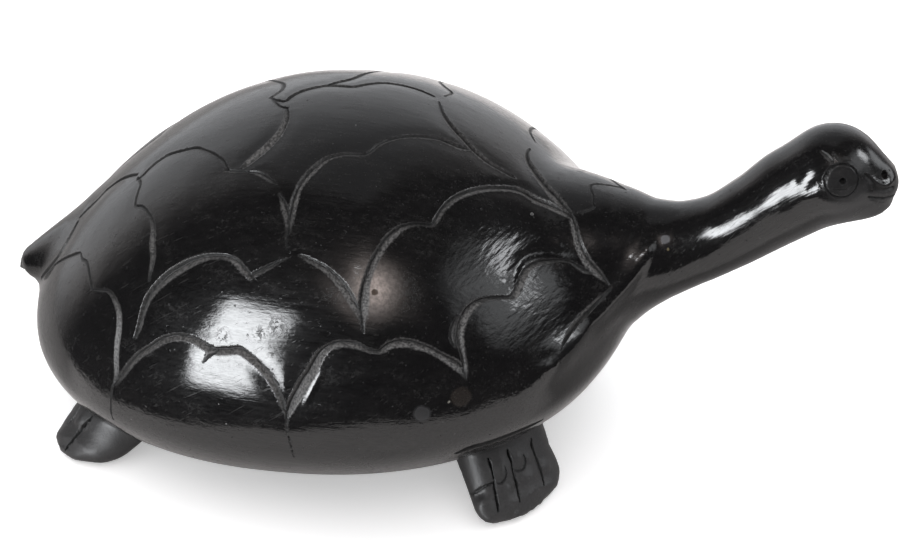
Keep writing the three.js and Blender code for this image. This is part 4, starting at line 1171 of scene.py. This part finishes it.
def clay_material():
    n = Nodes("black_clay")
    place = n.place()
    cut, pale, deep, dull, rise = (n.mark(name) for name in ("cut", "pale", "deep", "dull", "rise"))
    level = n.add("VectorMath", settings={"operation": "SUBTRACT"}, i0=place, i1=n.add("CombineXYZ", Z=rise))
    streak, fine_streak, patch = (n.cloud(name, level) for name in ("streak", "fine_streak", "patch"))
    broad, mottle, fine = (n.cloud(name, place) for name in ("broad", "mottle", "fine"))
    scratch = n.cloud("scratch", n.turned(level, "Y", SCRATCH_SLANT))
    dab = n.cloud("dab", n.turned(place, "Z", -DAB_HEADING))

    # Wear: a grey film in patches, rubbed streaks and scratches.
    film = n.times(n.ramp(patch, 0.45, 0.75), n.ramp(mottle, 0.4, 0.65))
    rubbed = n.ramp(n.plus(n.times(streak, 0.5), n.times(fine_streak, 0.5)), 0.48, 0.68)
    rubbed = n.times(rubbed, n.ramp(patch, 0.3, 0.65, 0.15, 0.6))
    wear = n.plus(n.times(film, 0.8), rubbed)
    wear = n.plus(wear, n.times(n.ramp(scratch, 0.63, 0.71), 0.8), clamp=True)

    # Pits in the polish, thicker where it is chipped, and dust.
    pits = n.add("TexVoronoi", Vector=place, Scale=PIT_SCALE)
    pits = n.times(n.ramp(pits, 0.1, 0.2, 1.0, 0.0), n.ramp(mottle, 0.55, 0.6))
    chips = 0.0
    for spot, radius in CHIPPED:
        chips = n.math("MAXIMUM", near_place(n, place, spot, radius), chips)
    pits = n.math("MAXIMUM", pits, n.times(chips, n.ramp(mottle, 0.5, 0.56)))
    dust = n.add("TexVoronoi", Vector=place, Scale=DUST_SCALE)
    dust = n.times(n.ramp(dust, 0.06, 0.1, 1.0, 0.0), n.ramp(mottle, 0.5, 0.45))

    # Colour, from the black of the clay to the bloom on it and the cuts in it, with a painted glow on the
    # haze.
    color = n.mix(n.times(wear, 0.55), n.mix(broad, *BLACK), WORN)
    color = n.mix(n.times(dust, 0.5), color, DUST)
    # The haze: less polish, and a pale warm colour that is partly a painted glow.
    haze_and_painted_glow = near_place(n, place, HAZE_AND_PAINTED_GLOW[0], HAZE_AND_PAINTED_GLOW[1])
    haze_and_painted_glow = n.times(n.times(haze_and_painted_glow, haze_and_painted_glow), n.ramp(mottle, 0.3, 0.7, 0.45, 1.0))
    color = n.mix(haze_and_painted_glow, color, (*HAZE_AND_PAINTED_GLOW[2], 1))
    color = n.mix(dull, color, n.mix(fine, *DULL))
    color = n.mix(pale, color, n.mix(n.ramp(fine, 0.36, 0.64), *BARED))
    # Painted shade: the bottoms of the cuts and holes darken toward near black.
    color = n.mix(n.times(deep, 0.92), color, PAINTED_CUT_SHADE)

    # How much of the polish is left, and how blurred its gloss is.
    polish = n.math("SUBTRACT", 1.0, n.times(wear, 0.35))
    polish = n.math("SUBTRACT", polish, n.times(pits, 0.85), clamp=True)
    polish = n.times(polish, n.ramp(dull, 0.0, 1.0, 1.0, 0.14))
    polish = n.times(polish, n.ramp(fine_streak, 0.35, 0.65, 0.78, 1.0))
    polish = n.times(polish, n.ramp(haze_and_painted_glow, 0.0, 0.25, 1.0, 0.0))
    polish = n.times(polish, n.math("SUBTRACT", 1.0, cut))
    gloss = n.plus(BLUR, n.times(wear, WORN_BLUR))
    gloss = n.plus(gloss, n.times(dull, DULL_BLUR))
    dabbed = near_place(n, place, *DABBED, 0.3)
    gloss = n.plus(gloss, n.times(dabbed, DAB_BLUR))

    # Spots with a slightly ragged edge.
    wobble = n.add("TexNoise", out=1, Vector=place, Scale=WOBBLE_SCALE)
    wobble = n.add("VectorMath", settings={"operation": "SCALE"}, i0=wobble, Scale=WOBBLE)
    shaky = n.add("VectorMath", settings={"operation": "SUBTRACT"}, i0=place, i1=wobble)
    shaky = n.add("VectorMath", settings={"operation": "ADD"}, i0=shaky, i1=(WOBBLE / 2,) * 3)
    for spot, radius, shade, rougher in SPOTS.values():
        mask = near_place(n, shaky, spot, 1.1 * radius, 0.68)
        color = n.mix(mask, color, (*shade, 1))
        gloss = n.plus(gloss, n.times(mask, rougher))

    n.link(color, n.shader.inputs["Base Color"])
    n.shader.inputs["Roughness"].default_value = 0.5
    n.link(n.times(n.math("SUBTRACT", 1.0, polish), 0.3), n.shader.inputs["Specular IOR Level"])
    n.link(polish, n.shader.inputs["Coat Weight"])
    n.link(gloss, n.shader.inputs["Coat Roughness"])
    height = n.times(streak, STREAK_HEIGHT)
    height = n.plus(height, n.times(fine_streak, FINE_STREAK_HEIGHT))
    height = n.plus(height, n.times(patch, PATCH_HEIGHT))
    height = n.math("SUBTRACT", height, n.times(pits, PIT_DEPTH))
    height = n.plus(height, n.times(dab, n.times(dabbed, DAB_HEIGHT)))
    grain = n.plus(n.times(cut, CUT_GRAIN), n.times(dull, DULL_GRAIN))
    height = n.plus(height, n.times(fine, grain))
    bump = n.add("Bump", Strength=1.0, Distance=MM, Height=height)
    n.link(bump, n.shader.inputs["Normal"])
    n.link(bump, n.shader.inputs["Coat Normal"])
    n.shader.inputs["IOR"].default_value = CLAY_IOR
    n.shader.inputs["Coat IOR"].default_value = CLAY_IOR
    return n.material


def plain_material(name, color, roughness=0.9, glow=0.0):
    n = Nodes(name)
    n.shader.inputs["Base Color"].default_value = (*color, 1)
    n.shader.inputs["Roughness"].default_value = roughness
    n.shader.inputs["Specular IOR Level"].default_value = 0.0
    n.shader.inputs["Emission Color"].default_value = (1, 1, 1, 1)
    n.shader.inputs["Emission Strength"].default_value = glow
    return n.material


def flat_object(name, corners, material):
    mesh = bpy.data.meshes.new(name)
    mesh.from_pydata([tuple(c) for c in corners], [], [tuple(range(len(corners)))])
    mesh.materials.append(material)
    made = bpy.data.objects.new(name, mesh)
    bpy.context.scene.collection.objects.link(made)
    return made


# A lit panel that only the gloss of the clay shows. Its light fades toward its edges.
def panel(name, aim, direction, distance, size, radiance, fade):
    lamp = bpy.data.lights.new(name, "AREA")
    lamp.shape = "RECTANGLE"
    lamp.size, lamp.size_y = size
    lamp.energy = radiance * math.pi * size[0] * size[1]
    lamp.color = PANEL_COLOR
    lamp.use_nodes = True
    n = Nodes(lamp)
    across = n.add("NewGeometry", out="Parametric")
    share = 1.0
    for axis in ("X", "Y"):
        place = n.add("SeparateXYZ", out=axis, i0=across)
        inward = n.math("SUBTRACT", 0.5, n.math("ABSOLUTE", n.math("SUBTRACT", place, 0.5)))
        share = n.times(n.ramp(inward, 0.0, fade / 2), share)
    n.link(share, n.shader.inputs["Strength"])
    made = bpy.data.objects.new(name, lamp)
    bpy.context.scene.collection.objects.link(made)
    aim = Vector(aim)
    turn = (-direction).to_track_quat("-Z", "Y").to_matrix().to_4x4()
    made.matrix_world = Matrix.Translation(aim + distance * direction) @ turn
    made.visible_camera = made.visible_diffuse = False
    return made


# The picture's width and the camera's focal length in pixels, and where the camera stands and looks in
# degrees and metres.
PICTURE_WIDTH, FOCAL_LENGTH = 913, 3267
SENSOR_WIDTH = 36.0
CAMERA_AZIMUTH = 12.0
CAMERA_ELEVATION = 35.0
CAMERA_DISTANCE = 0.9
CAMERA_AIM = (0.00416, 0, 0.0487)
# Each panel's aim in metres, the way to it in degrees round from the camera and up, its distance and size
# in metres, its radiance, and the share of its half size over which it fades.
PANELS = {
    "key": ((-0.04, -0.06, 0.058), (45, 11.5), 0.38, (0.2, 0.36), 24, 0.5),
    "side": ((0.03, -0.025, 0.07), (-92, 33), 0.9, (0.36, 0.42), 10, 0.7),
    "sheen": ((0.03, -0.025, 0.07), (-69, 35), 0.9, (0.8, 0.84), 1.7, 0.8),
    "rim": ((0.1, 0, 0.1), (-113, 12), 0.9, (0.5, 0.45), 2.2, 0.7),
    "lamp": ((0, -0.03, 0.07), (0, 52), 0.9, (0.1, 0.13), 16, 0.5),
}
PANEL_COLOR = (0.95, 0.975, 1)
# The white backdrop: its middle, and how far to the side it ends and is full, in degrees. The fade and the
# foot are each the sines of two heights and the light at them.
BACKDROP_MIDDLE, BACKDROP_END, BACKDROP_FULL = 170.0, 66.0, 20.0
BACKDROP_FADE = (-0.1, 1.0, 1.7, 0.25)
BACKDROP_FOOT = (-0.45, 0.05, 0.2, 1.0)
BACKDROP_EDGE_COLOR, BACKDROP_COLOR = (1.0, 0.93, 0.9, 1), (0.985, 1.0, 1.03, 1)
# The warm glow over the camera: its height in degrees, how tight it is, and its light.
GLOW_HEIGHT, GLOW_TIGHTNESS, GLOW_COLOR = 53, 45.0, (1.8, 1.58, 1.5)
ROOM_COLOR = (0.06, 0.06, 0.065, 1)
# The grey card on the floor that the clay mirrors: its corners in metres, colours, and where a painted shadow
# of the turtle darkens it.
CARD_CORNERS = [(0.012, -0.198), (0.2, -0.1), (0.34, -0.15), (0.42, 0), (0.42, 0.6), (-0.42, 0.6),
                (-0.42, 0.3), (-0.19, -0.03)]
CARD_PAINTED_SHADOW = (0.03, 0.03, 0.03)
CARD_GREY = (0.9, 0.87, 0.86)
FLOOR_WHITE = (0.93, 0.93, 0.935)
FLOOR_GLOW = 0.35
FLOOR_RADIUS, FLOOR_SIDES = 4, 48
SUN_FILL, SUN_ANGLE, SUN_WAY = 4.0, 120, (25, 74)


# The way toward something seen from the turtle, at degrees round from the camera (left positive) and up.
def toward(round_left, up):
    turn = math.radians(CAMERA_AZIMUTH - round_left)
    lift = math.radians(up)
    return Vector((math.sin(turn) * math.cos(lift), -math.cos(turn) * math.cos(lift), math.sin(lift)))


# A painted shadow of the turtle darkens the card behind it, to either side of the shell.
def card_material():
    material = plain_material("grey_card", CARD_GREY)
    n = Nodes(material)
    place = n.place()
    x, y = (n.add("SeparateXYZ", out=axis, i0=place) for axis in "XY")
    aside = n.ramp(n.math("ABSOLUTE", n.plus(x, 0.03)), 0.07, 0.12, 1.0, 0.4)
    front = n.ramp(y, -0.05, -0.02, 1.0, 0.0)
    lit = n.math("MAXIMUM", aside, front)
    n.link(n.mix(lit, (*CARD_PAINTED_SHADOW, 1), (*CARD_GREY, 1)), n.shader.inputs["Base Color"])
    return material


def make_stage():
    card = flat_object("mirrored_floor", [(x, y, -0.0004) for x, y in CARD_CORNERS], card_material())
    card.visible_camera = card.visible_diffuse = card.visible_shadow = card.visible_transmission = False
    turns = np.linspace(0, 2 * math.pi, FLOOR_SIDES, endpoint=False)
    rim = [(FLOOR_RADIUS * math.cos(a), FLOOR_RADIUS * math.sin(a), -0.0012) for a in turns]
    floor = flat_object("pale_floor", rim, plain_material("pale_floor", FLOOR_WHITE, glow=FLOOR_GLOW))
    floor.visible_glossy = floor.visible_shadow = False
    make_world()
    for name, (aim, way, distance, size, radiance, fade) in PANELS.items():
        panel(name, aim, toward(*way), distance, size, radiance, fade)
    sun = bpy.data.lights.new("fill", "SUN")
    sun.energy = SUN_FILL
    sun.angle = math.radians(SUN_ANGLE)
    made = bpy.data.objects.new("fill", sun)
    bpy.context.scene.collection.objects.link(made)
    made.matrix_world = (-toward(*SUN_WAY)).to_track_quat("-Z", "Y").to_matrix().to_4x4()
    made.visible_glossy = False


# The room as the clay mirrors it: a white backdrop, a warm glow over the camera, and dark elsewhere.
def make_world():
    world = bpy.data.worlds.new("studio")
    bpy.context.scene.world = world
    world.use_nodes = True
    n = Nodes(world)
    way = n.add("TexCoord", out=0)

    def along(direction):
        return n.add("VectorMath", out=1, settings={"operation": "DOT_PRODUCT"}, i0=way, i1=direction)

    up = along((0, 0, 1))
    level = n.math("SQRT", n.math("SUBTRACT", 1.0, n.times(up, up)))
    behind = n.math("DIVIDE", along(toward(BACKDROP_MIDDLE, 0)), n.math("MAXIMUM", level, 0.05))
    wide = n.ramp(behind, math.cos(math.radians(BACKDROP_END)), math.cos(math.radians(BACKDROP_FULL)))
    backdrop = n.times(n.times(wide, n.ramp(up, *BACKDROP_FADE)), n.ramp(up, *BACKDROP_FOOT))
    glow = n.math("POWER", n.math("MAXIMUM", along(toward(0, GLOW_HEIGHT)), 0.0), GLOW_TIGHTNESS)
    light = n.mix(backdrop, (0, 0, 0, 1), n.mix(wide, BACKDROP_EDGE_COLOR, BACKDROP_COLOR))
    for extra in (n.scaled(n.add("CombineXYZ", X=glow, Y=glow, Z=glow), GLOW_COLOR), ROOM_COLOR):
        light = n.add("Mix", out=2, settings={"data_type": "RGBA", "blend_type": "ADD"}, i0=1.0, i6=light,
                      i7=extra)
    n.link(light, n.shader.inputs["Color"])


def make_camera():
    data = bpy.data.cameras.new("camera")
    data.sensor_width = SENSOR_WIDTH
    data.sensor_fit = "HORIZONTAL"
    data.lens = SENSOR_WIDTH * FOCAL_LENGTH / PICTURE_WIDTH
    data.clip_start, data.clip_end = 0.05, 20.0
    made = bpy.data.objects.new("camera", data)
    bpy.context.scene.collection.objects.link(made)
    aim = Vector(CAMERA_AIM)
    place = aim + CAMERA_DISTANCE * toward(0, CAMERA_ELEVATION)
    turn = (aim - place).to_track_quat("-Z", "Y").to_matrix().to_4x4()
    made.matrix_world = Matrix.Translation(place) @ turn
    bpy.context.scene.camera = made


points, faces, normals, marks = make_body()
turtle = mesh_object("turtle_clay", points, faces, normals, marks)
turtle.data.materials.append(clay_material())
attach(turtle, "root")
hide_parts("turtle")
make_stage()
make_camera()
bpy.context.scene.view_settings.view_transform = "Standard"
